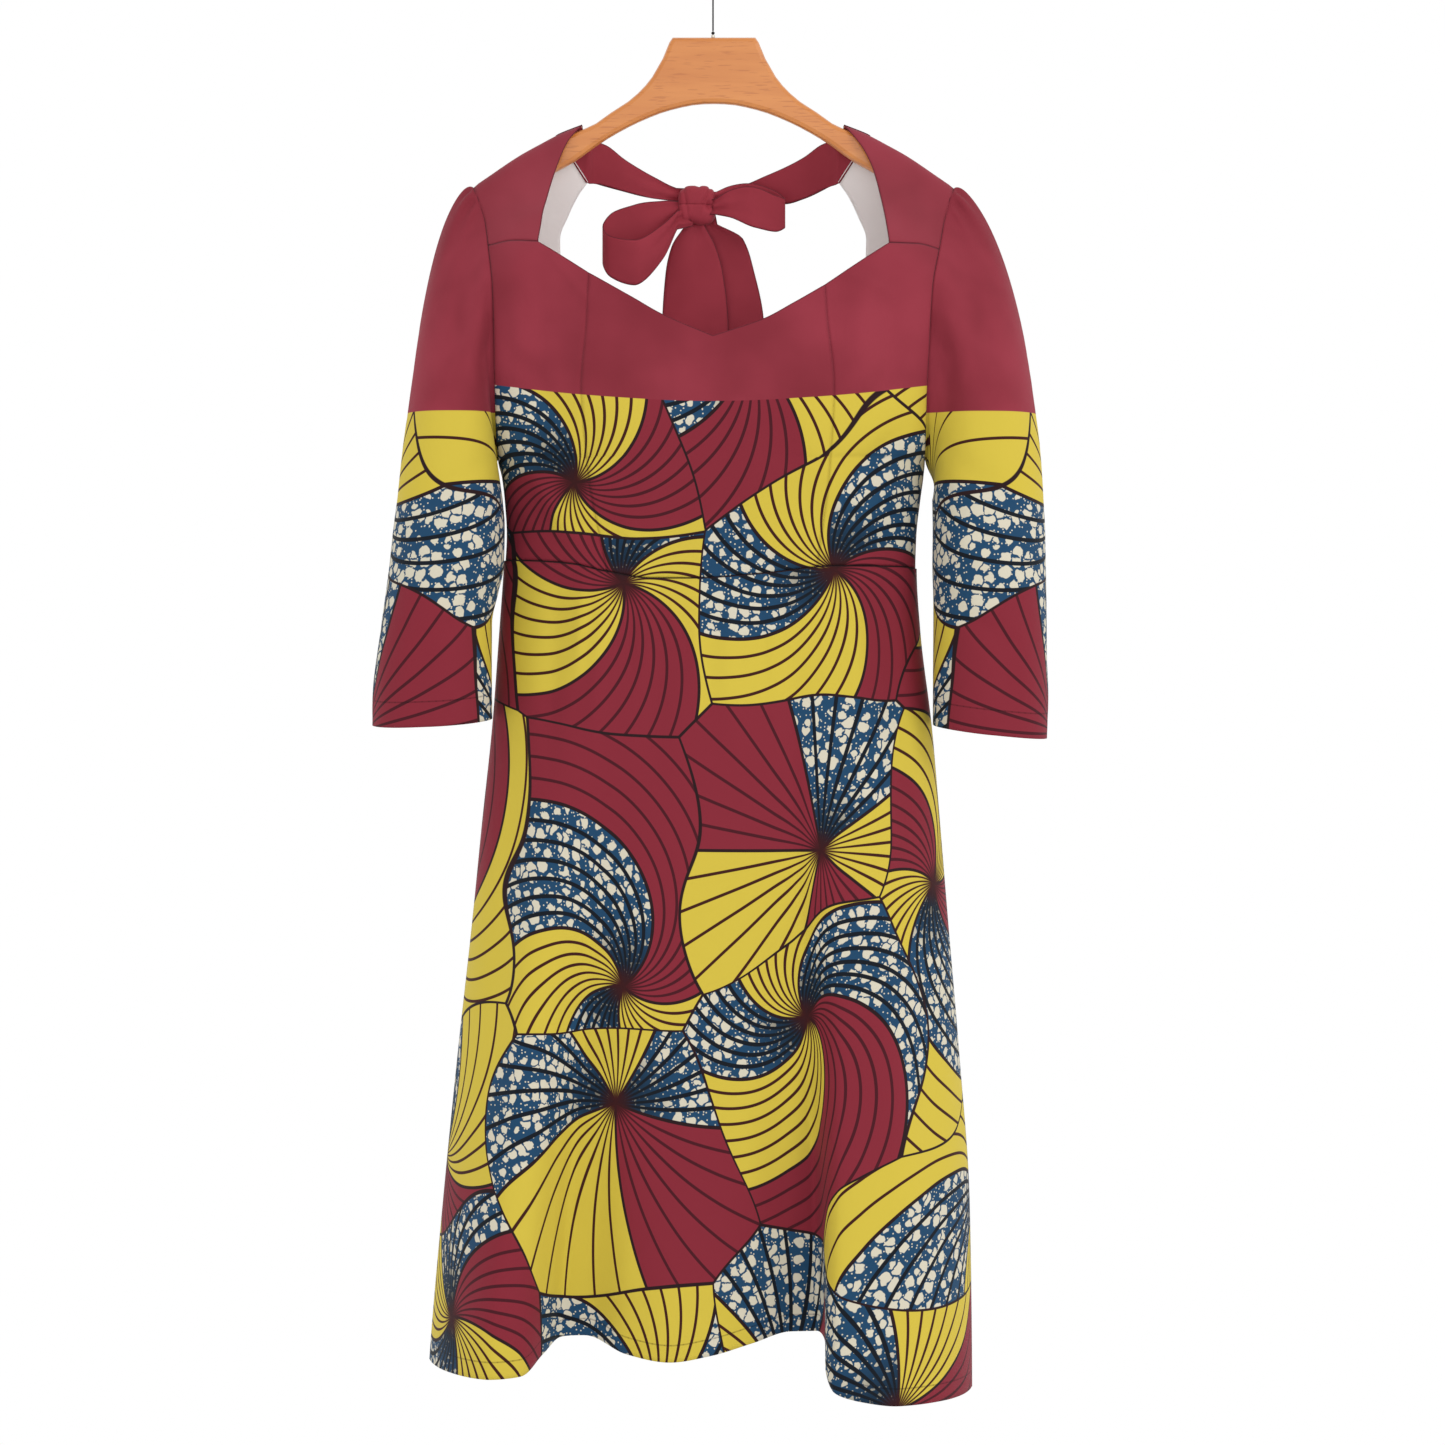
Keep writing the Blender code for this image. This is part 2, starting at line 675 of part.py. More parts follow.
def back_half(side):
    """Outer and inner edge of half the back, from the neck tie round to the middle."""
    sign = sign_of(side)
    tip = half_width(sign, TIP_DROP)
    x = TIE_SEAM_TOP[0] + (tip - TIE_SEAM_TOP[0]) * shares_of(BACK_COLUMNS["shoulder"])
    shoulder = np.stack([sign * x, read(SHOULDER, "drop", x)], 1)
    swing = (1 - np.cos(math.pi * shares_of(BACK_COLUMNS["armhole"]))) / 2
    armhole = side_edge(side, shoulder[-1, 1] + (UNDERARM - shoulder[-1, 1]) * swing)
    seam = side_edge(side, side_drops(side, BACK_COLUMNS["side"]))
    shares = np.arange(WAIST_COLUMNS["back"] // 2 + 1) / WAIST_COLUMNS["back"]
    waist = waist_line("back", shares if side == "left" else 1 - shares)
    seam[-1] = waist[0]
    outer = np.concatenate([shoulder, armhole[1:], seam[1:], waist[1:]])
    counts = [*BACK_COLUMNS.values(), WAIST_COLUMNS["back"] // 2]
    corners = BACK_INNER_SHARES
    runs = [a + (b - a) * shares_of(n)[1:] for a, b, n in zip(corners, corners[1:], counts, strict=False)]
    inner = along(SCOOP, np.concatenate([[0], *runs]))
    inner[:, 0] *= sign
    return outer, inner


def add_bodice_back():
    """The back in one piece round its deep scoop."""
    left_outer, left_inner = back_half("left")
    right_outer, right_inner = back_half("right")
    outer = np.concatenate([left_outer, right_outer[::-1][1:]])
    inner = np.concatenate([left_inner, right_inner[::-1][1:]])
    down = shares_of(BACK_ROWS, 1.8)[:, None, None]
    places = outer[None] * (1 - down) + inner[None] * down
    add_trunk_panel("bodice_back", places, "back", PRINT_YELLOW)


# Skirt
def skirt_point(face, shares, down):
    """Points of the skirt at shares along its cut cloth and shares of the way to the hem."""
    shares, down = np.broadcast_arrays(shares, down)
    waist = waist_line(face, shares.ravel()).reshape(*shares.shape, 2)
    drop = waist[..., 1] + down * (read(HEM[face], "drop", shares) - waist[..., 1])
    start = waist[..., 0] / half_width(waist[..., 0], waist[..., 1])
    across = start + (read(HEM[face], "across", shares) - start) * down**FOLD_SPREAD
    across = np.clip(across, -1, 1)
    x = across * half_width(across, drop)
    body = read(TRUNK, face, drop) * outline(np.abs(across), 1 / SIDE_TURN)
    y = (-body if face == "front" else body) + read(HEM[face], "push", shares) * down**FOLD_GROWTH
    return np.stack([x, y, drop], -1)


def add_skirt(face):
    """Half the skirt, from side seam to side seam and from the waist seam to the hem."""
    shares = shares_of(WAIST_COLUMNS[face])[None, :]
    down = shares_of(SKIRT_ROWS[face])[:, None]
    grid = drawn_in(skirt_point(face, shares, down))
    add_cloth("skirt_" + face, grid, PRINT_YELLOW, flip=face == "back")


# Sleeves
def armhole_half(side, face):
    """Points down half the armhole with the way along it, from the tip to the underarm."""
    swing = (1 - np.cos(math.pi * shares_of(400))) / 2
    drops = tip_drop(side) + (UNDERARM - tip_drop(side)) * swing
    places = side_edge(side, drops)
    places[:, 0] += sign_of(side) * ARMHOLE_GAP
    line = np.stack([places[:, 0], depth(side_edge(side, drops)[:, 0], drops, face), drops], 1)
    way = np.concatenate([[0], np.cumsum(np.linalg.norm(np.diff(line, axis=0), axis=1))])
    gathered, plain = SLEEVE_COLUMNS
    stops = np.concatenate([
        GATHER["reach"] * shares_of(gathered)[:-1],
        GATHER["reach"] + (way[-1] - GATHER["reach"]) * shares_of(plain),
    ])
    return np.stack([np.interp(stops, way, column) for column in line.T], 1), stops


def sleeve_ring(side, angle, drop):
    """Points round the sleeve. Angle 0 is its outer side, a quarter turn on is its front."""
    outer = read(SLEEVE[side], "outer", drop)
    inner = read(SLEEVE[side], "inner", drop)
    cosine, sine = np.cos(angle), np.sin(angle)
    power = 2 / SLEEVE_ROUNDNESS
    out = np.sign(cosine) * np.abs(cosine) ** power
    front = np.sign(sine) * np.abs(sine) ** power
    x = sign_of(side) * ((outer + inner) / 2 + (outer - inner) / 2 * out)
    y = -read(SLEEVE[side], "forward", drop) - read(SLEEVE[side], "depth", drop) * front
    return np.stack(np.broadcast_arrays(x, y, drop), -1)


def add_sleeve(side):
    """A set-in sleeve, from the armhole seam to its hem, with small gathers at the cap."""
    sign = sign_of(side)
    front, stops = armhole_half(side, "front")
    back, _ = armhole_half(side, "back")
    loop = np.concatenate([front, back[::-1][1:-1]])
    way = np.concatenate([stops, stops[::-1][1:-1]])
    count = len(loop)
    angle = 2 * math.pi * np.arange(count) / count
    low = 1 - np.abs(1 - angle / math.pi)
    angle = angle + SLEEVE_TWIST[side] * low
    first_drop = SLEEVE[side]["drop"][0]
    ring = sleeve_ring(side, angle, np.full(count, first_drop))
    out = CAP_OUT[side] + (CAP_LIFT["out_underarm"] - CAP_OUT[side]) * low**0.65
    down = CAP_LIFT["down"] + (CAP_LIFT["down_underarm"] - CAP_LIFT["down"]) * low
    lifted = loop + np.stack([sign * out, 0 * low, down], 1)
    hang = CAP_HANG["up"] * (ring[:, 2] - loop[:, 2])
    inward = CAP_HANG[side] * (1 - low) ** 1.5 - CAP_HANG["clear"] * low**4
    hung = ring - np.stack([sign * inward, 0 * low, hang], 1)
    rows = []
    for share in CAP_ROWS:
        v = (share ** (1 - 0.45 * low))[:, None]
        row = (1 - v) ** 3 * loop + 3 * v * (1 - v) ** 2 * lifted
        rows.append(row + 3 * v * v * (1 - v) * hung + v**3 * ring)
    cuff = CUFF[side]
    end = cuff["drop"] + cuff["outer"] * np.cos(angle) + cuff["front"] * np.sin(angle)
    for share in shares_of(HANGING_ROWS)[1:]:
        rows.append(sleeve_ring(side, angle, first_drop + (end - first_drop) * share))
    grid = np.array(rows)
    grid[: len(CAP_ROWS)] += gathers(grid[: len(CAP_ROWS)], way, sign)
    grid = drawn_in(grid, closed=True)
    add_cloth("sleeve_" + side, grid, PRINT_YELLOW, flip=side == "right", closed=True)


def gathers(cap, way, sign):
    """How far each point of a sleeve cap is raised by its gathers, along the cloth's normal."""
    round_it = np.roll(cap, -1, 1) - np.roll(cap, 1, 1)
    down_it = np.gradient(cap, axis=0)
    normal = unit(np.cross(down_it, round_it)) * -sign
    normal *= np.where((normal[..., :1] * sign) < 0, -1, 1)
    v = np.array(CAP_ROWS)[:, None] / 0.05
    fade = v * np.exp(1 - v)
    wave = np.cos(2 * math.pi * way / GATHER["pitch"]) * np.exp(-((way / GATHER["reach"]) ** 4))
    return (GATHER["rise"] * fade * wave)[..., None] * normal


# Neck ties and bow
def tie_y(side, x, drop):
    """y of a neck tie: on the back near the shoulder, then swept back to the knot."""
    sign = sign_of(side)
    seam = TIE_START_LOWER[-1][0]
    from_middle = np.abs(x)
    on_back = depth(sign * np.maximum(from_middle, seam), drop, "back")
    knot_side = np.abs(KNOT["x"] + sign * KNOT["wide"])
    t = np.clip((seam - from_middle) / (seam - knot_side), 0, 1)
    return on_back + (TIE_END_Y - on_back) * t**TIE_SWEEP


def knot_reach(distance, size):
    """Share of the knot's other size left at a distance from its middle."""
    return np.sqrt(np.maximum(1 - (distance / size) ** 2, LEAST_BULGE))


def beside_knot(line, sign):
    """Sets the end of a ribbon against the knot's side."""
    reach = knot_reach(line[:, 2] - KNOT["drop"], KNOT["tall"])
    line[:, 0] = KNOT["x"] + sign * (KNOT["wide"] * reach + KNOT_GAP)


def add_neck_tie(side):
    """A neck tie, from the shoulder seam and the back's neck edge to the knot."""
    sign = sign_of(side)
    width = shares_of(RIBBON_COLUMNS)
    start = np.array(TIE_START_SHARES)
    upper = along(TIE_START_UPPER, start)
    lower = along(TIE_START_LOWER, start)
    last = abs(KNOT["x"] + sign * KNOT["wide"])
    across = upper[-1, 0] + (last - upper[-1, 0]) * shares_of(9)[1:]
    upper = np.concatenate([upper, np.stack([across, read(TIE[side], "upper", across)], 1)])
    lower = np.concatenate([lower, np.stack([across, read(TIE[side], "lower", across)], 1)])
    places = upper[None] * (1 - width[:, None, None]) + lower[None] * width[:, None, None]
    places[:, 0, 1] = read(SHOULDER, "drop", places[:, 0, 0])
    x = sign * places[..., 0]
    grid = np.stack([x, tie_y(side, x, places[..., 1]), places[..., 1]], -1)
    beside_knot(grid[:, -1], sign)
    add_cloth("neck_tie_" + side, drawn_in(grid), MAROON, flip=side == "left")


def add_knot():
    bpy.ops.mesh.primitive_uv_sphere_add(segments=16, ring_count=10, radius=1)
    knot = bpy.context.active_object
    for vertex in knot.data.vertices:
        vertex.co.x = (KNOT["x"] + KNOT["wide"] * vertex.co.x) * MM
        vertex.co.y = (KNOT["y"] + KNOT["deep"] * vertex.co.y) * MM
        vertex.co.z = (-KNOT["drop"] + KNOT["tall"] * vertex.co.z) * MM
    knot.data.shade_smooth()
    keep(knot, "bow_knot", MAROON, 0.75)


def add_bow_loop(side):
    """A loop of the bow, its ribbon upright and pinched where it meets the knot."""
    rows = LOOP[side]
    at = shares_of(18)
    middle = np.stack([read(rows, "x", at), read(rows, "y", at), read(rows, "drop", at)], 1)
    width = shares_of(RIBBON_COLUMNS)[:, None] - 0.5
    grid = np.repeat(middle[None], RIBBON_COLUMNS + 1, 0)
    grid[..., 2] += width * read(rows, "width", at)
    beside_knot(grid[:, 0], sign_of(side))
    beside_knot(grid[:, -1], sign_of(side))
    add_cloth("bow_loop_" + side, grid, MAROON, middle=True)


def add_bow_tail(side):
    """A tail of the bow, from under the knot down outside the back."""
    rows = TAIL[side]
    across = shares_of(RIBBON_COLUMNS)[None, :]
    first = rows["drop"][0]
    last = TAIL_END[side][0] + (TAIL_END[side][1] - TAIL_END[side][0]) * across
    drop = first + (last - first) * shares_of(12, 1.5)[:, None]
    x = read(rows, "start", drop) * (1 - across) + read(rows, "end", drop) * across
    trough = TAIL_TROUGH * np.sin(math.pi * across) * ease((drop - first) / 60)
    y = read(rows, "y", drop) - trough
    reach = knot_reach(x[0] - KNOT["x"], KNOT["wide"])
    drop[0] = KNOT["drop"] + KNOT["tall"] * reach + 1.5 * KNOT_GAP
    add_cloth("bow_tail_" + side, np.stack([x, y, drop], -1), MAROON, middle=True)


# Seams at the middle plane
def part_front_from_back(face, names):
    """Cuts panels back to half the seam gap from the plane where front meets back."""
    bpy.ops.mesh.primitive_cube_add(size=1)
    cutter = bpy.context.active_object
    cutter.name = "seam_cutter_" + face
    cutter.scale = (0.7, CUTTER_DEPTH * MM, 1.3)
    reach = (CUTTER_DEPTH - SEAM_GAP) / 2 * MM
    cutter.location = (0, reach if face == "front" else -reach, -0.6)
    bpy.ops.object.transform_apply(location=True, rotation=False, scale=True)
    for home in list(cutter.users_collection):
        home.objects.unlink(cutter)
    bpy.data.collections["cutters"].objects.link(cutter)
    cutter.hide_render = True
    cutter.display_type = "WIRE"
    for name in names:
        cut = bpy.data.objects[name].modifiers.new("middle_seam", "BOOLEAN")
        cut.operation = "DIFFERENCE"
        cut.solver = "EXACT"
        cut.object = cutter


# Hanger and cord
def hanger_half():
    """Half the board's outline, from the middle of its top round to the middle below."""
    arm = np.linspace(HANGER_NECK_END[-1][0] + 8, ARM_END["from"], 8)
    top = np.stack([arm, read(SHOULDER, "drop", arm) + HANGER_UNDER_SEAM], 1)
    below = np.linspace(ARM_END["from"], 0, 20)
    under = np.stack([below, read(HANGER_UNDERSIDE, "drop", below)], 1)
    turn = np.radians(np.linspace(45, -60, 6))
    end = np.stack([np.cos(turn), -np.sin(turn)], 1) * ARM_END["radius"] + (ARM_END["x"], ARM_END["drop"])
    return np.concatenate([HANGER_NECK, HANGER_NECK_END, top, end, under])


def add_hanger_board():
    """The wooden board: its outline with a depth and rounded edges."""
    half = hanger_half()
    outline_points = np.concatenate([half, (half * (-1, 1))[::-1][1:]])
    curve = bpy.data.curves.new("board_outline", "CURVE")
    curve.dimensions = "2D"
    curve.fill_mode = "BOTH"
    curve.extrude = (HANGER_HALF_DEPTH - HANGER_EDGE) * MM
    curve.bevel_depth = HANGER_EDGE * MM
    curve.offset = -HANGER_EDGE * MM
    curve.bevel_resolution = 1
    spline = curve.splines.new("POLY")
    spline.points.add(len(outline_points) - 1)
    for point, (x, drop) in zip(spline.points, outline_points, strict=True):
        point.co = ((HANGER_X + x) * MM, -drop * MM, 0, 1)
    spline.use_cyclic_u = True
    shape = bpy.data.objects.new("board_outline", curve)
    bpy.context.scene.collection.objects.link(shape)
    shape.rotation_euler.x = math.pi / 2
    bpy.context.view_layer.update()
    finish_curve(shape, "hanger_board", HONEY_WOOD, 0.35)


def finish_curve(shape, name, colour, roughness):
    """Makes a mesh object of a curve, with its caps joined on, and removes the curve."""
    ready = shape.evaluated_get(bpy.context.evaluated_depsgraph_get())
    mesh = bpy.data.meshes.new_from_object(ready)
    weld = bmesh.new()
    weld.from_mesh(mesh)
    bmesh.ops.remove_doubles(weld, verts=weld.verts, dist=0.00001)
    weld.to_mesh(mesh)
    weld.free()
    mesh.transform(shape.matrix_world)
    mesh.shade_smooth()
    solid = bpy.data.objects.new(name, mesh)
    bpy.data.objects.remove(shape)
    return keep(solid, name, colour, roughness)


def add_ball(name, radius, drop):
    bpy.ops.mesh.primitive_uv_sphere_add(segments=10, ring_count=6, radius=radius * MM)
    ball = bpy.context.active_object
    ball.location.z = -drop * MM
    ball.data.shade_smooth()
    keep(ball, name, CORD_BLACK, 0.8)


def add_hanging():
    """The eye in the board's top, the cord with a knot at each end, and its loop."""
    eye_foot = HANGER_TOP - SEAM_GAP
    eye_head = eye_foot - EYE_TALL
    bpy.ops.mesh.primitive_cylinder_add(vertices=12, radius=EYE_RADIUS * MM, depth=EYE_TALL * MM)
    eye = bpy.context.active_object
    eye.location.z = -(eye_foot + eye_head) / 2 * MM
    keep(eye, "hanger_eye", PALE_METAL, 0.35, 1.0)

    eye_knot = eye_head - SEAM_GAP - EYE_KNOT_RADIUS
    add_ball("cord_knot_at_eye", EYE_KNOT_RADIUS, eye_knot)

    loop_middle = LOOP_RADIUS - CORD_RADIUS
    bpy.ops.mesh.primitive_torus_add(
        major_radius=LOOP_RADIUS * MM,
        minor_radius=CORD_RADIUS * MM,
        major_segments=20,
        minor_segments=8,
    )
    ring = bpy.context.active_object
    ring.location.z = -loop_middle * MM
    ring.rotation_euler.x = math.pi / 2
    ring.data.shade_smooth()
    keep(ring, "cord_loop", CORD_BLACK, 0.8)

    loop_foot = loop_middle + LOOP_RADIUS + CORD_RADIUS
    loop_knot = loop_foot + SEAM_GAP + KNOT_RADIUS
    add_ball("cord_knot_at_loop", KNOT_RADIUS, loop_knot)

    top = loop_knot + KNOT_RADIUS + SEAM_GAP
    foot = eye_knot - EYE_KNOT_RADIUS - SEAM_GAP
    curve = bpy.data.curves.new("cord_line", "CURVE")
    curve.dimensions = "3D"
    curve.bevel_depth = CORD_RADIUS * MM
    curve.bevel_resolution = 2
    curve.use_fill_caps = True
    spline = curve.splines.new("POLY")
    drops = np.linspace(foot, top, 12)
    spline.points.add(len(drops) - 1)
    for point, drop in zip(spline.points, drops, strict=True):
        point.co = (0, 0, -drop * MM, 1)
    line = bpy.data.objects.new("cord_line", curve)
    bpy.context.scene.collection.objects.link(line)
    bpy.context.view_layer.update()
    finish_curve(line, "hanging_cord", CORD_BLACK, 0.8)


def main():
    for thing in list(bpy.data.objects):
        bpy.data.objects.remove(thing)
    home = bpy.data.collections.new("ankara_wax_print_dress")
    bpy.context.scene.collection.children.link(home)
    cutters = bpy.data.collections.new("cutters")
    bpy.context.scene.collection.children.link(cutters)
    add_front_centre()
    add_bodice_back()
    for side in ("left", "right"):
        add_front_yoke(side)
        add_front_side(side)
        add_sleeve(side)
        add_neck_tie(side)
        add_bow_loop(side)
        add_bow_tail(side)
    add_skirt("front")
    add_skirt("back")
    sides = ("left", "right")
    front = ["front_yoke_" + side for side in sides] + ["front_side_" + side for side in sides]
    part_front_from_back("front", [*front, "skirt_front"])
    part_front_from_back("back", ["bodice_back", "neck_tie_left", "neck_tie_right", "skirt_back"])
    add_knot()
    add_hanger_board()
    add_hanging()


main()
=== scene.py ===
"""The wax print dress on its hanger, dressed for the render.

Each sheet of cloth is a thin shell on the form of its solid, from the same sizes, with
finer points, creases and seams. Lengths here are in millimetres and become metres where a
mesh is made. A drop is a distance below the place where the cord loop is held. Left and
right are as seen from the front, and the front faces -Y.
"""
import math

import bpy
import numpy as np
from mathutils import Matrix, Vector


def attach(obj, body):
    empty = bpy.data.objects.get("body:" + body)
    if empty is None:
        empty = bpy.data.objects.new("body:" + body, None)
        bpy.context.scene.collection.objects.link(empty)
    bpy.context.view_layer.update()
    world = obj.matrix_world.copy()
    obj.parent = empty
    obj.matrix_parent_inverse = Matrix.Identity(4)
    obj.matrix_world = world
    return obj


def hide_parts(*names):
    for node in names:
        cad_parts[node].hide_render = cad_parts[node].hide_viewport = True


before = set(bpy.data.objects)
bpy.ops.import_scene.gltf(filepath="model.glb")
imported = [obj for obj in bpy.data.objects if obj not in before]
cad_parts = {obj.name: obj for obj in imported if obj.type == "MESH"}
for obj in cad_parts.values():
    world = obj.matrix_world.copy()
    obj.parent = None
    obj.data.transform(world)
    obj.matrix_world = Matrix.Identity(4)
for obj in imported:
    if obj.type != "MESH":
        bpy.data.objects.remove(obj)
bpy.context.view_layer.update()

MM = 0.001


def table(columns, *rows):
    """Rows of sizes under named columns. The first column is the one to read by."""
    return {name: np.array([row[n] for row in rows], float) for n, name in enumerate(columns.split())}


# Cloth
SEAM_GAP = 0.3  # between two pieces at a seam
ARMHOLE_GAP = 0.7  # the gathered cap's wall leans toward the armhole, so it starts farther out
ON_MIDDLE_PLANE = 0.01  # normals of an edge this near the middle plane lie in it
ROUNDNESS = 2.4  # power of the trunk's outline seen from above
SIDE_TURN = 2.1  # how squarely the trunk turns at the side seams
STRAP_TURN = 1.25  # the same near the shoulders, where it lies flatter

# Trunk by drop: half width to the armhole or side seam on either side, half depth at the
# middle of the front and of the back.
TRUNK = table(
    "drop left right front back",
    (125, 189.0, 190.0, 50, 40),
    (174, 187.0, 188.0, 54, 46),
    (203, 177.5, 180.0, 57, 50),
    (223, 174.4, 176.0, 59, 53),
    (255, 170.6, 170.0, 62, 56),
    (300, 169.5, 167.5, 66, 58),
    (345, 169.0, 165.6, 68, 59),
    (387, 168.0, 165.5, 64, 57),
    (400, 165.0, 164.4, 62, 56),
    (418, 162.8, 162.0, 58, 53),
    (445, 161.2, 159.0, 52, 48),
    (472, 162.6, 158.2, 48, 45),
    (520, 166.0, 161.0, 54, 51),
    (595, 171.6, 170.0, 61, 61),
    (665, 179.0, 176.0, 65, 68),
    (750, 187.5, 183.0, 68, 72),
    (845, 198.0, 191.0, 71, 76),
    (965, 210.0, 199.5, 74, 80),
    (1080, 220.0, 201.3, 76, 84),
    (1112, 222.0, 201.5, 76, 84),
)
BUST = {"across": 76, "drop": 338, "wide": 44, "tall": 50, "rise": 6}  # fullness of each side

# Shoulder seam by its distance from the middle, the same on both sides.
SHOULDER = table(
    "across drop",
    (100, 125.0),
    (120, 132.8),
    (135, 140.6),
    (151, 149.5),
    (177, 167.0),
    (188, 174.5),
)
NECK_POINT = 102.0  # where the shoulder seam starts, from the middle
TIP_DROP = 174.0  # shoulder tip
ROLL_DEPTH = 9.3  # the cloth rolls over the hanger's arm to this half depth
ROLL_DROP = 11.0  # within this drop
SHOULDER_OPENS = 95.0  # drop below the shoulder seam where the trunk has its full depth

# Armhole: an upright oval that narrows to the shoulder tip and closes at the underarm.
ARMHOLE_WIDEST = 300.0
UNDERARM = 387.0
ARMHOLE_HALF = {"front": 42.0, "back": 37.0}

# Seams and edges of the front, as places (x, drop).
YOKE_SEAM = {
    "left": [(-174.4, 222.9), (-155.8, 220.0), (-134.7, 221.4)],
    "right": [(175.7, 225.9), (157.5, 222.2), (135.7, 222.4)],
}
STRAP_EDGE = {
    "left": [(-102.0, 125.8), (-112.8, 139.4), (-122.5, 163.9), (-129.0, 189.2), (-134.7, 221.4)],
    "right": [(102.0, 125.8), (117.4, 146.6), (124.9, 163.9), (131.5, 192.0), (135.7, 222.4)],
}
NECKLINE_SIDE = {
    "left": [(-134.7, 221.4), (-116.0, 233.1), (-95.5, 246.3)],
    "right": [(135.7, 222.4), (114.0, 236.7), (86.0, 255.5)],
}
NECKLINE_CENTRE = {
    "left": [(-95.5, 246.3), (-61.3, 265.7), (-38.2, 279.1), (0.0, 295.5)],
    "right": [(0.0, 295.5), (40.0, 281.8), (62.0, 269.6), (86.0, 255.5)],
}
PRINCESS_SEAM = {
    "left": [(-95.5, 246.3), (-97.0, 290.0), (-101.0, 336.0), (-96.0, 400.0)],
    "right": [(86.0, 255.5), (87.5, 277.0), (93.0, 330.0), (89.0, 400.0)],
}

# Waist seam by place across.
WAIST_DROP = 469.0  # its middle height, by which its places are spread
WAIST = {
    "front": table(
        "x drop",
        (-163, 465.6),
        (-138, 466.6),
        (-108, 469.3),
        (-83, 475.0),
        (-47, 480.5),
        (-16, 480.5),
        (40, 476.7),
        (97, 470.8),
        (143, 470.8),
        (159, 471.9),
    ),
    "back": table("x drop", (-163, 465.6), (0, 470.0), (159, 471.9)),
}

# Back scoop by drop: half width of the opening.
SCOOP = [
    (98.0, 166.5),
    (106.0, 177.0),
    (114.0, 192.0),
    (121.0, 210.0),
    (120.0, 240.0),
    (108.0, 290.0),
    (86.0, 340.0),
    (52.0, 381.0),
    (20.0, 398.0),
    (0.0, 400.0),
]
TIE_SEAM_TOP = (121.0, 133.3)  # shoulder end of the seam between neck tie and back

# Hem. along is the place on the cut cloth, across its place in the finished width, push is
# toward the viewer where negative, and drop is the hem's own.
HEM = {
    "front": table(
        "along across push drop",
        (0.000, -1.00, 0, 1088),
        (0.097, -0.93, -30, 1088),
        (0.183, -0.775, -56, 1088),
        (0.224, -0.66, -38, 1087),
        (0.274, -0.59, -5, 1074),
        (0.315, -0.53, 22, 1064),
        (0.342, -0.45, 24, 1063),
        (0.399, -0.30, 8, 1075),
        (0.451, -0.15, 1, 1080),
        (0.501, 0.00, 4, 1075),
        (0.548, 0.15, 13, 1067),
        (0.599, 0.30, 27, 1060),
        (0.630, 0.40, 28, 1060),
        (0.657, 0.427, 8, 1066),
        (0.693, 0.425, -16, 1082),
        (0.724, 0.45, -36, 1097),
        (0.757, 0.55, -46, 1104),
        (0.804, 0.70, -50, 1108),
        (0.875, 0.88, -38, 1108),
        (0.940, 0.97, -18, 1108),
        (1.000, 1.00, 0, 1109),
    ),
    "back": table(
        "along across push drop",
        (0.00, -1.00, 0, 1088),
        (0.15, -0.74, 22, 1080),
        (0.33, -0.40, -12, 1071),
        (0.50, 0.00, 17, 1070),
        (0.66, 0.34, -12, 1070),
        (0.84, 0.72, 22, 1084),
        (1.00, 1.00, 0, 1109),
    ),
}
FOLD_GROWTH = 1.8  # power by which the hem's folds grow down the skirt
FOLD_SPREAD = 1.3  # power by which the cloth moves across to its place at the hem

# Sleeves by drop: outer and inner side from the middle, half depth, and how far forward
# the sleeve hangs.
SLEEVE = {
    "left": table(
        "drop outer inner depth forward",
        (418, 244.8, 163.4, 50, 16),
        (440, 247.3, 161.4, 51, 22),
        (470, 250.3, 161.9, 51, 25),
        (490, 252.8, 166.0, 50, 26),
        (515, 256.2, 171.0, 48, 28),
        (545, 259.8, 171.0, 44, 30),
        (600, 262.9, 170.4, 37, 31),
    ),
    "right": table(
        "drop outer inner depth forward",
        (418, 256.8, 170.8, 50, 10),
        (440, 257.8, 171.0, 51, 13),
        (470, 258.2, 170.6, 51, 16),
        (500, 258.5, 171.2, 49, 19),
        (545, 258.6, 170.8, 45, 22),
        (610, 258.6, 170.4, 38, 23),
    ),
}
CUFF = {
    "left": {"drop": 591.0, "outer": 2.5, "front": 4.0},
    "right": {"drop": 598.5, "outer": 5.0, "front": 3.0},
}
# Cap: how it leaves the armhole, and how it comes to hang on the upper arm
CAP_OUT = {"left": 29.5, "right": 31.5}  # how far the cap leans out from the shoulder tip
CAP_LIFT = {"out_underarm": 1.5, "power": 0.65, "down": 10.0, "down_underarm": 11.0}
CAP_HANG = {"left": 14.0, "right": 6.0, "power": 1.5, "up": 0.54, "clear": 5.0}
SLEEVE_ROUNDNESS = 2.15
SLEEVE_TWIST = {"left": 0.32, "right": 0.22}  # radians that the underarm seam runs to the back
# Small gathers either side of the tip. highest is a share of the way down the cap.
GATHER = {"pitch": 12.0, "rise": 1.5, "reach": 28.0, "highest": 0.05}

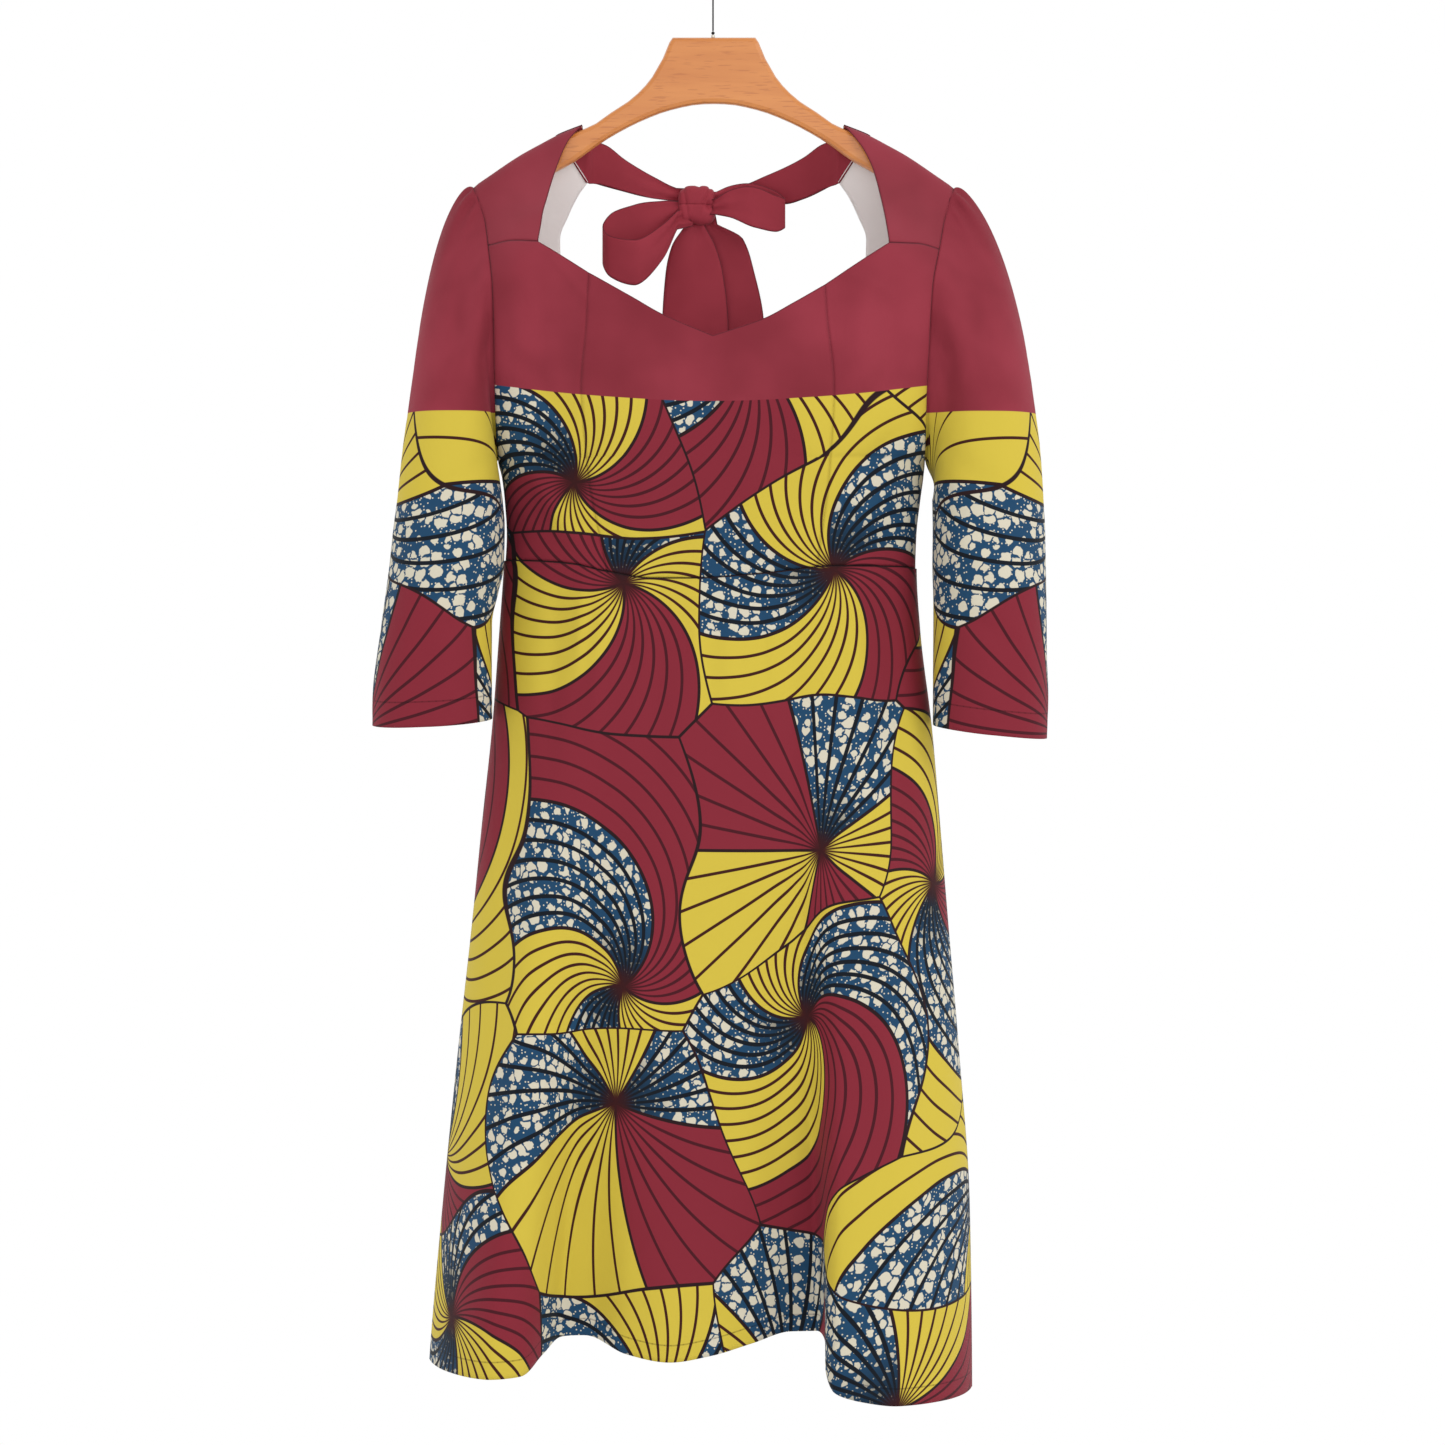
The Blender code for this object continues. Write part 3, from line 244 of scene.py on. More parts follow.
# Neck ties. They start on the shoulder seam and on the back, and run to the knot.
TIE_START_UPPER = [(102.0, 125.8), (101.6, 131.0), (98.0, 134.5)]
TIE_START_LOWER = [(120.4, 133.0), (109.0, 150.0), (98.0, 166.5)]
TIE = {
    "left": table(
        "across upper lower",
        (12.0, 171.0, 179.0),
        (28.6, 168.2, 178.4),
        (46.7, 160.1, 177.0),
        (57.7, 154.5, 175.3),
        (70.0, 147.5, 172.6),
        (84.8, 137.6, 169.4),
        (98.0, 134.5, 166.5),
    ),
    "right": table(
        "across upper lower",
        (0.0, 172.0, 180.0),
        (26.8, 165.4, 180.5),
        (40.0, 160.2, 182.0),
        (57.0, 153.5, 182.0),
        (71.5, 146.6, 178.5),
        (86.3, 137.4, 172.5),
        (98.0, 134.5, 166.5),
    ),
}
TIE_SWEEP = 0.6

KNOT = {"x": -12.8, "y": 50.0, "drop": 182.5, "wide": 14.2, "deep": 9.5, "tall": 15.0}
TIE_END_Y = 54.0
KNOT_GAP = -1.6  # the ribbons run this far into the knot
TAIL_GAP = -2.4  # and the tails this far, from below
LEAST_BULGE = 0.12  # share of the knot's size under which a ribbon end passes it

# Bow loops: middle line of the ribbon from the knot round to the knot, and its width.
LOOP = {
    "left": table(
        "along x drop y width",
        (0.00, -27.0, 186.0, 48.0, 13),
        (0.13, -40.0, 192.5, 47.5, 27),
        (0.30, -62.0, 200.0, 47.0, 36),
        (0.42, -80.0, 205.5, 43.5, 33),
        (0.50, -87.0, 214.5, 38.0, 29),
        (0.58, -82.0, 224.0, 33.0, 32),
        (0.72, -62.0, 229.5, 31.0, 36),
        (0.87, -40.0, 213.0, 37.0, 28),
        (1.00, -27.0, 193.0, 43.0, 13),
    ),
    "right": table(
        "along x drop y width",
        (0.00, 1.4, 178.0, 47.0, 11),
        (0.13, 14.0, 177.0, 44.0, 19),
        (0.30, 33.0, 179.5, 40.0, 26),
        (0.42, 49.0, 185.5, 36.5, 26),
        (0.50, 56.5, 190.5, 32.5, 23),
        (0.58, 51.0, 191.5, 29.0, 28),
        (0.72, 33.0, 186.5, 28.0, 32),
        (0.87, 14.0, 183.0, 34.0, 22),
        (1.00, 1.4, 184.5, 42.0, 12),
    ),
}

# Bow tails by drop: their two edges, and how far back they hang. They pass outside the back.
TAIL = {
    "left": table(
        "drop start end y",
        (198, -22.0, -7.0, 50.0),
        (215, -33.0, 2.0, 51.0),
        (234, -37.5, 7.5, 53.0),
        (270, -40.3, 11.8, 56.0),
        (330, -42.0, 13.0, 60.0),
        (390, -43.0, 14.0, 62.3),
        (440, -43.5, 14.5, 62.6),
    ),
    "right": table(
        "drop start end y",
        (196, -8.0, 1.0, 52.2),
        (208, -9.0, 23.5, 54.8),
        (234, -11.0, 32.5, 58.5),
        (270, -13.0, 40.0, 62.0),
        (330, -15.0, 43.5, 66.0),
        (390, -16.0, 45.0, 68.5),
        (440, -16.5, 46.0, 68.8),
    ),
}
TAIL_END = {"left": (438.0, 425.0), "right": (418.0, 431.0)}  # drop at its two edges
TAIL_TROUGH = 2.2  # depth of the soft fold down each tail

# Cord, from the eye on the hanger to the loop that is held
HANGER_TOP = 57.7
CORD_RADIUS = 0.62
LOOP_RADIUS = 5.82  # of the cord loop's middle line
KNOT_RADIUS = 1.5
EYE_KNOT_RADIUS = 1.4
EYE_TALL = 1.8

# How finely each sheet is divided
ROW_POWER = {"yoke": 1.3, "back": 1.8, "cap": 1.7, "tail": 1.3}  # over 1: closer rows at first
WAIST_COLUMNS = {"front": 136, "back": 96}
SIDE_COLUMNS = 40  # waist columns on each side front panel
YOKE_COLUMNS = 20
SIDE_ROWS = (88, 32)  # above and below the underarm
UNDERARM_SHARE = 0.665  # of the way down the front panels
ROWS_EVEN = 0.35  # share of even spacing in the rows above the underarm
YOKE_ROW_COUNT = 44
SKIRT_COLUMNS = {"front": 200, "back": 150}
SKIRT_ROW_COUNT = {"front": 150, "back": 120}
BACK_COLUMNS = {"shoulder": 14, "armhole": 60, "side": 28}
BACK_INNER_SHARES = (0.0, 0.07, 0.52, 0.68, 1.0)  # of the scoop, at the outer corners
BACK_ROWS = 40
SLEEVE_COLUMNS = (28, 42)  # of half the armhole: within the gathers and below them
ARMHOLE_STEPS = 400  # by which the armhole is measured
CAP_ROW_COUNT = 44
CAP_ROWS_SPREAD = 0.45  # the cap's rows start farther apart at the underarm
HANGING_ROWS = 56
TIE_START_SHARES = tuple(k / 12 for k in range(13))
RIBBON_COLUMNS = 14
CAP_ROWS = tuple((k / CAP_ROW_COUNT) ** ROW_POWER["cap"] for k in range(CAP_ROW_COUNT + 1))


# Curves and grids
def through(xs, ys, at):
    """A smooth line through (xs, ys) that never swings past its own points."""
    step = np.diff(xs)
    slope = np.diff(ys) / step
    lean = np.concatenate([slope[:1], np.zeros(len(slope) - 1), slope[-1:]])
    same = slope[:-1] * slope[1:] > 0
    before = slope[:-1][same]
    after = slope[1:][same]
    lean[1:-1][same] = 2 * before * after / (before + after)
    at = np.clip(at, xs[0], xs[-1])
    k = np.clip(np.searchsorted(xs, at, side="right") - 1, 0, len(step) - 1)
    t = (at - xs[k]) / step[k]
    rise = ys[k] * (1 + 2 * t) * (1 - t) ** 2 + ys[k + 1] * t * t * (3 - 2 * t)
    return rise + step[k] * t * (1 - t) * (lean[k] * (1 - t) - lean[k + 1] * t)


def read(rows, column, at):
    """A column of a table, read at places of its first column."""
    return through(next(iter(rows.values())), rows[column], np.asarray(at, float))


def distances(points, axis):
    """How far each point lies from the first, along a line or the rows or columns of a grid."""
    steps = np.linalg.norm(np.diff(points, axis=axis), axis=-1)
    return np.concatenate([0 * steps.take([0], axis), np.cumsum(steps, axis)], axis)


def along(points, shares):
    """Points at shares of the way along a smooth curve through a few points."""
    points = np.asarray(points, float)
    way = distances(points, 0)
    return np.stack([through(way, line, np.asarray(shares) * way[-1]) for line in points.T], 1)


def ease(t):
    """0 to 1 with soft ends."""
    t = np.clip(t, 0, 1)
    return t * t * (3 - 2 * t)


def shares_of(count, power=1.0):
    """count + 1 numbers from 0 to 1, closer near 0 with a power over 1."""
    return (np.arange(count + 1) / count) ** power


def swung(count):
    """count + 1 numbers from 0 to 1, closer near both."""
    return (1 - np.cos(math.pi * shares_of(count))) / 2


def squared(angle, power):
    """Cosine and sine of an outline that is squarer for a power under 1."""
    c, s = np.cos(angle), np.sin(angle)
    return np.sign(c) * np.abs(c) ** power, np.sign(s) * np.abs(s) ** power


def front_rows():
    """Shares down the front panels, closer together as they near the underarm."""
    above, below = SIDE_ROWS
    even = shares_of(above)
    closer = np.sin(math.pi / 2 * even)
    upper = UNDERARM_SHARE * (ROWS_EVEN * even + (1 - ROWS_EVEN) * closer)
    return np.concatenate([upper, UNDERARM_SHARE + (1 - UNDERARM_SHARE) * shares_of(below)[1:]])


def patch(top, bottom, start, end, across, down):
    """A grid that fills four edges: top and bottom run across, start and end run down."""
    s = np.asarray(across)[None, :, None]
    t = np.asarray(down)[:, None, None]
    ruled = (1 - t) * top[None] + t * bottom[None] + (1 - s) * start[:, None] + s * end[:, None]
    corners = (1 - t) * ((1 - s) * top[0] + s * top[-1]) + t * ((1 - s) * bottom[0] + s * bottom[-1])
    return ruled - corners


def unit(vectors):
    """The vectors at length 1."""
    return vectors / np.maximum(np.linalg.norm(vectors, axis=-1, keepdims=True), 1e-9)


FRONT_ROWS = front_rows()


# The trunk's form
def sign_of(side):
    """Which way a side lies from the middle."""
    return -1 if side == "left" else 1


def half_width(x, drop):
    """Half width of the trunk on the side where x is."""
    return np.where(np.asarray(x) < 0, read(TRUNK, "left", drop), read(TRUNK, "right", drop))


def outline(share, power):
    """Depth left at a share of the half width, from 1 in the middle to 0 at the side."""
    return (1 - np.clip(share, 0, 1) ** ROUNDNESS) ** power


def depth(x, drop, face):
    """y of the cloth's outer face at a place across and a drop."""
    x, drop = np.broadcast_arrays(np.asarray(x, float), np.asarray(drop, float))
    reach = np.maximum((drop - ARMHOLE_WIDEST) / (UNDERARM - ARMHOLE_WIDEST), 0)
    edge = ARMHOLE_HALF[face] * np.sqrt(np.clip(1 - reach**2, 0, 1))
    turned = ease((drop - TIP_DROP) / (UNDERARM - TIP_DROP))
    power = 1 / (STRAP_TURN + (SIDE_TURN - STRAP_TURN) * turned)
    share = np.abs(x) / half_width(x, drop)
    full = edge + (read(TRUNK, face, drop) - edge) * outline(share, power)
    if face == "front":
        across_it = (np.abs(x) - BUST["across"]) / BUST["wide"]
        down_it = (drop - BUST["drop"]) / BUST["tall"]
        bust = BUST["rise"] * np.exp(-(across_it**2) - down_it**2)
        full = full + bust * (1 - np.clip(share, 0, 1) ** 4)
    below = drop - read(SHOULDER, "drop", np.abs(x))
    roll = np.sqrt(1 - (1 - np.clip(below / ROLL_DROP, 0, 1)) ** 2)
    y = ROLL_DEPTH * roll + (full - ROLL_DEPTH) * ease(below / SHOULDER_OPENS)
    return -y if face == "front" else y


def laid(places, face):
    """Places (x, drop) laid on the trunk, as points (x, y, drop)."""
    x, drop = places[..., 0], places[..., 1]
    return np.stack([x, depth(x, drop, face), drop], -1)


def waist_line(face, shares):
    """Places on the waist seam, from the left side seam at 0 to the right one at 1."""
    shares = np.asarray(shares, float)
    across = 0.5 * (np.sin(math.pi * (shares - 0.5)) + 2 * shares - 1)
    x = across * half_width(across, WAIST_DROP)
    return np.stack([x, read(WAIST[face], "drop", x)], 1)


def side_drops(side, count):
    """Drops down the side seam, from the underarm to the waist."""
    waist = WAIST["front"]["drop"][0 if side == "left" else -1]
    return UNDERARM + (waist - UNDERARM) * shares_of(count)


def tip_drop(side):
    """Drop of the shoulder tip, where the shoulder seam meets the armhole."""
    return float(read(SHOULDER, "drop", half_width(sign_of(side), TIP_DROP)))


def side_edge(side, drops):
    """Places at the armhole or side seam at these drops."""
    sign = sign_of(side)
    return np.stack([sign * half_width(sign, drops), drops], 1)


def trunk_normals(points, face):
    """Outward directions of the trunk, which panels share where they meet at a seam."""
    x, drop = points[..., 0], points[..., 2]
    step = 0.4  # to either side
    lean_x = (depth(x + step, drop, face) - depth(x - step, drop, face)) / (2 * step)
    lean_drop = (depth(x, drop + step, face) - depth(x, drop - step, face)) / (2 * step)
    normals = np.stack([-lean_x, np.ones_like(x), -lean_drop], -1)
    normals *= -1 if face == "front" else 1
    normals[..., 1] = np.where(np.abs(points[..., 1]) < ON_MIDDLE_PLANE, 0, normals[..., 1])
    return unit(normals)


def princess(side, shares):
    """Places down a princess seam, from the neckline to the waist seam."""
    count = WAIST_COLUMNS["front"]
    column = SIDE_COLUMNS if side == "left" else count - SIDE_COLUMNS
    foot = waist_line("front", [column / count])[0]
    return along([*PRINCESS_SEAM[side], foot], shares)


def back_half(side):
    """Outer and inner edge of half the back, from the neck tie round to the middle."""
    sign = sign_of(side)
    tip = half_width(sign, TIP_DROP)
    x = TIE_SEAM_TOP[0] + (tip - TIE_SEAM_TOP[0]) * shares_of(BACK_COLUMNS["shoulder"])
    shoulder = np.stack([sign * x, read(SHOULDER, "drop", x)], 1)
    swing = swung(BACK_COLUMNS["armhole"])
    armhole = side_edge(side, shoulder[-1, 1] + (UNDERARM - shoulder[-1, 1]) * swing)
    seam = side_edge(side, side_drops(side, BACK_COLUMNS["side"]))
    shares = np.arange(WAIST_COLUMNS["back"] // 2 + 1) / WAIST_COLUMNS["back"]
    waist = waist_line("back", shares if side == "left" else 1 - shares)
    seam[-1] = waist[0]
    outer = np.concatenate([shoulder, armhole[1:], seam[1:], waist[1:]])
    counts = [*BACK_COLUMNS.values(), WAIST_COLUMNS["back"] // 2]
    corners = BACK_INNER_SHARES
    runs = [a + (b - a) * shares_of(n)[1:] for a, b, n in zip(corners, corners[1:], counts, strict=False)]
    inner = along(SCOOP, np.concatenate([[0], *runs]))
    inner[:, 0] *= sign
    return outer, inner


def skirt_point(face, shares, down):
    """Points of the skirt at shares along its cut cloth and shares of the way to the hem."""
    shares, down = np.broadcast_arrays(shares, down)
    waist = waist_line(face, shares.ravel()).reshape(*shares.shape, 2)
    drop = waist[..., 1] + down * (read(HEM[face], "drop", shares) - waist[..., 1])
    start = waist[..., 0] / half_width(waist[..., 0], waist[..., 1])
    across = start + (read(HEM[face], "across", shares) - start) * down**FOLD_SPREAD
    across = np.clip(across, -1, 1)
    x = across * half_width(across, drop)
    body = read(TRUNK, face, drop) * outline(np.abs(across), 1 / SIDE_TURN)
    y = (-body if face == "front" else body) + read(HEM[face], "push", shares) * down**FOLD_GROWTH
    return np.stack([x, y, drop], -1)


# Sleeves
def armhole_half(side, face):
    """Points down half the armhole with the way along it, from the tip to the underarm."""
    drops = tip_drop(side) + (UNDERARM - tip_drop(side)) * swung(ARMHOLE_STEPS)
    places = side_edge(side, drops)
    places[:, 0] += sign_of(side) * ARMHOLE_GAP
    line = np.stack([places[:, 0], depth(side_edge(side, drops)[:, 0], drops, face), drops], 1)
    way = distances(line, 0)
    gathered, plain = SLEEVE_COLUMNS
    stops = np.concatenate([
        GATHER["reach"] * shares_of(gathered)[:-1],
        GATHER["reach"] + (way[-1] - GATHER["reach"]) * shares_of(plain),
    ])
    return np.stack([np.interp(stops, way, column) for column in line.T], 1), stops


def sleeve_ring(side, angle, drop):
    """Points round the sleeve. Angle 0 is its outer side, a quarter turn on is its front."""
    outer = read(SLEEVE[side], "outer", drop)
    inner = read(SLEEVE[side], "inner", drop)
    out, front = squared(angle, 2 / SLEEVE_ROUNDNESS)
    x = sign_of(side) * ((outer + inner) / 2 + (outer - inner) / 2 * out)
    y = -read(SLEEVE[side], "forward", drop) - read(SLEEVE[side], "depth", drop) * front
    return np.stack(np.broadcast_arrays(x, y, drop), -1)


def gathers(cap, way, sign):
    """How far each point of a sleeve cap is raised by its gathers, along the cloth's normal."""
    round_it = np.roll(cap, -1, 1) - np.roll(cap, 1, 1)
    down_it = np.gradient(cap, axis=0)
    normal = unit(np.cross(down_it, round_it)) * -sign
    normal *= np.where((normal[..., :1] * sign) < 0, -1, 1)
    v = np.array(CAP_ROWS)[:, None] / GATHER["highest"]
    fade = v * np.exp(1 - v)
    wave = np.cos(2 * math.pi * way / GATHER["pitch"]) * np.exp(-((way / GATHER["reach"]) ** 4))
    return (GATHER["rise"] * fade * wave)[..., None] * normal


def tie_y(side, x, drop):
    """y of a neck tie: on the back near the shoulder, then swept back to the knot."""
    sign = sign_of(side)
    seam = TIE_START_LOWER[-1][0]
    from_middle = np.abs(x)
    on_back = depth(sign * np.maximum(from_middle, seam), drop, "back")
    knot_side = np.abs(KNOT["x"] + sign * KNOT["wide"])
    t = np.clip((seam - from_middle) / (seam - knot_side), 0, 1)
    return on_back + (TIE_END_Y - on_back) * t**TIE_SWEEP


def knot_reach(distance, size):
    """Share of the knot's other size left at a distance from its middle."""
    return np.sqrt(np.maximum(1 - (distance / size) ** 2, LEAST_BULGE))


def beside_knot(line, sign):
    """Sets the end of a ribbon against the knot's side."""
    reach = knot_reach(line[:, 2] - KNOT["drop"], KNOT["tall"])
    line[:, 0] = KNOT["x"] + sign * (KNOT["wide"] * reach + KNOT_GAP)


# Camera
CAMERA_X = 7.4
CAMERA_SEES = (0.1, 20.0)  # metres from it
CAMERA_DROP = 591.6
CAMERA_AWAY = 3400.0
FRAME_WIDTH = 1127.1  # seen at the middle plane
SENSOR_WIDTH = 36.0


def add_camera():
    """The camera, level and straight in front, with the photo's framing."""
    data = bpy.data.cameras.new("camera")
    data.sensor_width = SENSOR_WIDTH
    data.lens = SENSOR_WIDTH * CAMERA_AWAY / FRAME_WIDTH
    data.clip_start, data.clip_end = CAMERA_SEES
    camera = bpy.data.objects.new("camera", data)
    camera.location = (CAMERA_X * MM, -CAMERA_AWAY * MM, -CAMERA_DROP * MM)
    camera.rotation_euler = (math.pi / 2, 0, 0)
    bpy.context.scene.collection.objects.link(camera)
    bpy.context.scene.camera = camera


# Materials. Each is made from what the real one is. Spacings and widths are millimetres of
# cloth or wood, and 1000 / spacing is how many there are in a metre.
PAINTED_SEAM_SHADE = "#571D28"  # painted shade of the plain cloth in the groove where it turns in at a seam, and along a turned edge
PLAIN_CLOTH = ("#913240", "#7B2531")
# the yokes' maroon cloth, painted lighter to offset the shade in and around the bow and ties
RIBBON_PAINTED_LIGHTER = ("#A03544", "#8B2936")
PALE_CLOTH = ("#F3EDEB", "#EAE1DF")
BEECH = {"light": "#D58A44", "dark": "#B96A2A", "fleck": "#A85C22"}

# Cloth, with the spacing of its threads and how often it is uneven. The real threads lie
# 0.3 mm apart, and here they are drawn coarser so that they show from close by.
THREAD_SPACING = 0.5
WAVE_PERIOD = 2 * math.pi / 20  # of a wave texture at scale 1, in metres
SLUB_SPACING = 25
THREAD_SHARE = 0.25  # of the bump, beside the slubs
THREAD_RELIEF = 0.4
THREADS_SHOW = {"right_side": 0.35, "wrong_side": 0.3}  # strength of the bump
DYE_CLOUD = 111
DYE_DRIFT = (0.3, 0.7)  # of the noise, between one dye colour and the other
PALE_CLOUD = 50

# Grain and flecks of the beech: along the arms, through the board, and up and down it
BEECH_GRAIN = (110, 16.5, 10.5)
BEECH_FLECKS = (16.5, 2.5, 1.4)
FLECK_NOISE = (0.34, 0.42)  # a fleck is solid under the first, and gone at the next
FLECK_DARK = 0.5

# Painted shade in the seams and along turned edges, and the dark line of the hem's stitching
SEAM_LINE = (0.25, 0.9)  # painted shade line in the groove of a seam: solid to here, gone by here
EDGE_LINE = (0.3, 1.0)  # the same painted shade along a turned edge, where the cloth rolls under
# how dark the painted shade along a turned edge gets
EDGE_DARK = 0.8
HEM_LINE = (0.35, 0.8)  # the dark line of a hem's stitching: solid to here, gone by here
STITCH_SPACING = 5.5
STITCH_GAP = (0.36, 0.42)  # of the spacing, from the middle of a stitch
STITCH_DARK = {"between": 0.8, "less_on_it": 0.28}
HEM_TINT = (0.35, 0.32, 0.36)

# Print. Each colour has its ground and its ink.
PRINT = {
    "yellow": ("#CBB540", "#3A140E"),
    "maroon": ("#802432", "#45101B"),
    "indigo": ("#1A4262", "#0A121C"),
    "cream": "#CFC8B4",
    "outline": "#241014",
    "heart": "#3B0F12",
}
HUB_SPACING = 192.3
HUB_SCATTER = 0.75  # 0 sets the hubs in even rows
LAYOUT_PULLS = ((250, 220), (111, 45))  # how often and how far the layout is pulled about
BLADES = 5  # fans to a pinwheel
RAYS = 7  # to a fan
SWIRL = 12.0  # radians a metre at the most, to either side
CHARTS = (  # the fans' colours round a pinwheel of the first and of the second kind
    ("yellow", "maroon", "yellow", "indigo", "maroon"),
    ("yellow", "indigo", "yellow", "maroon", "indigo"),
)
RAY_HALF = {"at_hub": 0.4, "growth": 0.016, "most": 1.2, "more_on_indigo": 0.35}
RAY_BLUR = 0.2
OUTLINE_HALF = (0.9, 1.4)
HUB_SHADOW = (12, 60)  # the indigo darkens to its ink within this
HUB_SHADOW_DARK = 0.75
HEART = (4, 20)  # the dark middle of each hub
HEART_DARK = 0.7
GRAIN_SPACING = 10.4
GRAIN_WOBBLE = (5.9, 6.0)  # how often and how far the grains' outlines are pulled about
GRAIN_SIZE = {"most": 0.52, "chance": 0.3, "near_hub": 0.25}  # shares of the spacing
GRAINS_SMALLER = (20, 70)  # from the hub
GRAIN_GAP = 0.07
GRAIN_ROUNDING = 0.12
GRAIN_BLUR = 0.03
SPECK_SPACING = 3.45
SPECK_SIZE = (0.13, 0.21)
SPECKS_LEFT_OUT = 0.4
PRINT_EDGE_BLUR = 0.3  # to either side of the line between print and plain

# Settings that nodes share. A mix of colours takes its share at 0 and its colours at 6 and 7,
# and gives the mix at 2.
SOFT = {"interpolation_type": "SMOOTHSTEP"}  # with 1 to 0: 1 up to a width, 0 beyond the next
COLOURS = {"data_type": "RGBA"}
FLAT_CELLS = {"voronoi_dimensions": "2D"}
CELL_EDGES = {"voronoi_dimensions": "2D", "feature": "DISTANCE_TO_EDGE"}


def srgb(code):
    """A colour from its hex code, in linear light."""
    parts = [int(code[k : k + 2], 16) / 255 for k in (1, 3, 5)]
    return (*[c / 12.92 if c < 0.04045 else ((c + 0.055) / 1.055) ** 2.4 for c in parts], 1.0)


def new_material(name, finish):
    """A material, its node tree and its shader, with the finish set on the shader's sockets."""
    material = bpy.data.materials.new(name)
    material.use_nodes = True
    shader = material.node_tree.nodes["Principled BSDF"]
    for socket, value in finish.items():
        shader.inputs[socket].default_value = value
    return material, material.node_tree, shader


def add_node(tree, kind, inputs=(), **settings):
    """Adds a node, sets it, fills or links its inputs in order or by name, and gives its outputs."""
    made = tree.nodes.new("ShaderNode" + kind)
    for key, value in settings.items():
        setattr(made, key, value)
    for key, value in inputs.items() if isinstance(inputs, dict) else enumerate(inputs):
        if isinstance(value, bpy.types.NodeSocket):
            tree.links.new(value, made.inputs[key])
        else:
            made.inputs[key].default_value = value
    return made.outputs


def metres(sizes):
    """Sizes in metres, which the nodes work in."""
    return [size * MM for size in sizes]


def pulled_by(tree, place, spacing, far, detail=0.0):
    """How far a place is pulled about by chance, to any side."""
    noise = {"Vector": place, "Scale": 1000 / spacing, "Detail": detail}
    chance = add_node(tree, "TexNoise", noise)["Color"]
    shift = add_node(tree, "VectorMath", [chance, (0.5, 0.5, 0.5)], operation="SUBTRACT")[0]
    return add_node(tree, "VectorMath", [shift, (far * MM, far * MM, 0.0)], operation="MULTIPLY")[0]


def layout_pull(tree, place):
    """How far the print's layout is pulled from an even one, which bends the fans' far edges."""
    wide, narrow = (pulled_by(tree, place, spacing, far) for spacing, far in LAYOUT_PULLS)
    return add_node(tree, "VectorMath", [wide, narrow], operation="ADD")[0]


def pinwheel(tree, place):
    """The pinwheel at a place: the way from its hub, its rim, and its own two chance numbers."""
    pulled = add_node(tree, "VectorMath", [place, layout_pull(tree, place)], operation="ADD")[0]
    cells = {"Vector": pulled, "Scale": 1000 / HUB_SPACING, "Randomness": HUB_SCATTER}
    hub = add_node(tree, "TexVoronoi", cells, **FLAT_CELLS)
    rim = add_node(tree, "TexVoronoi", cells, **CELL_EDGES)[0]
    rim = add_node(tree, "Math", [rim, HUB_SPACING * MM], operation="MULTIPLY")[0]
    pull_back = layout_pull(tree, hub["Position"])
    middle = add_node(tree, "VectorMath", [hub["Position"], pull_back], operation="SUBTRACT")[0]
    spoke = add_node(tree, "VectorMath", [place, middle], operation="SUBTRACT")[0]
    chance = add_node(tree, "SeparateXYZ", [hub["Color"]])
    return spoke, rim, chance[0], chance[1]


def line_gap(tree, fan, lines, arm):
    """How far the nearest line lies, where each fan has this many lines from its hub."""
    step = add_node(tree, "Math", [fan, float(lines)], operation="MULTIPLY")[0]
    step = add_node(tree, "Math", [step, 0.5], operation="PINGPONG")[0]
    step = add_node(tree, "Math", [step, 2 * math.pi / BLADES / lines], operation="MULTIPLY")[0]
    return add_node(tree, "Math", [step, arm], operation="MULTIPLY")[0]


def fans_of(tree, number, colour):
    """1 on the fans that the charts give this colour."""
    total = 0.0
    for k, name in enumerate(CHARTS[0] + CHARTS[1]):
        if name == colour:
            here = add_node(tree, "Math", [number, k, 0.4], operation="COMPARE")[0]
            total = add_node(tree, "Math", [total, here], operation="ADD")[0]
    return total


def cream_grains(tree, place, radius):
    """1 on the cream grains, which shrink toward the hub, and on the specks between them."""
    wobble = pulled_by(tree, place, *GRAIN_WOBBLE, detail=1.0)
    wobbly = add_node(tree, "VectorMath", [place, wobble], operation="ADD")[0]
    cells = {"Vector": wobbly, "Scale": 1000 / GRAIN_SPACING, "Randomness": 0.9}
    grain = add_node(tree, "TexVoronoi", cells, **FLAT_CELLS)
    gap = add_node(tree, "TexVoronoi", cells, **CELL_EDGES)[0]
    chance = add_node(tree, "SeparateXYZ", [grain["Color"]])[0]
    size = [chance, -GRAIN_SIZE["chance"], GRAIN_SIZE["most"]]
    size = add_node(tree, "Math", size, operation="MULTIPLY_ADD")[0]
    near = add_node(tree, "MapRange", [radius, *metres(GRAINS_SMALLER), 1.0, 0.0], **SOFT)[0]
    size = add_node(tree, "Math", [near, -GRAIN_SIZE["near_hub"], size], operation="MULTIPLY_ADD")[0]
    beyond = add_node(tree, "Math", [grain["Distance"], size], operation="SUBTRACT")[0]
    crowded = add_node(tree, "Math", [GRAIN_GAP, gap], operation="SUBTRACT")[0]
    beyond = add_node(tree, "Math", [beyond, crowded, GRAIN_ROUNDING], operation="SMOOTH_MAX")[0]
    cells = {"Vector": place, "Scale": 1000 / SPECK_SPACING, "Randomness": 1.0}
    speck = add_node(tree, "TexVoronoi", cells, **FLAT_CELLS)
    chance = add_node(tree, "SeparateXYZ", [speck["Color"]])[0]
    kept = add_node(tree, "Math", [chance, SPECKS_LEFT_OUT], operation="GREATER_THAN")[0]
    specks = add_node(tree, "MapRange", [speck["Distance"], *SPECK_SIZE, 1.0, 0.0], **SOFT)[0]
    specks = add_node(tree, "Math", [specks, kept], operation="MULTIPLY")[0]
    grains = add_node(tree, "MapRange", [beyond, -GRAIN_BLUR, GRAIN_BLUR, 1.0, 0.0], **SOFT)[0]
    return add_node(tree, "Math", [grains, specks], operation="MAXIMUM")[0]


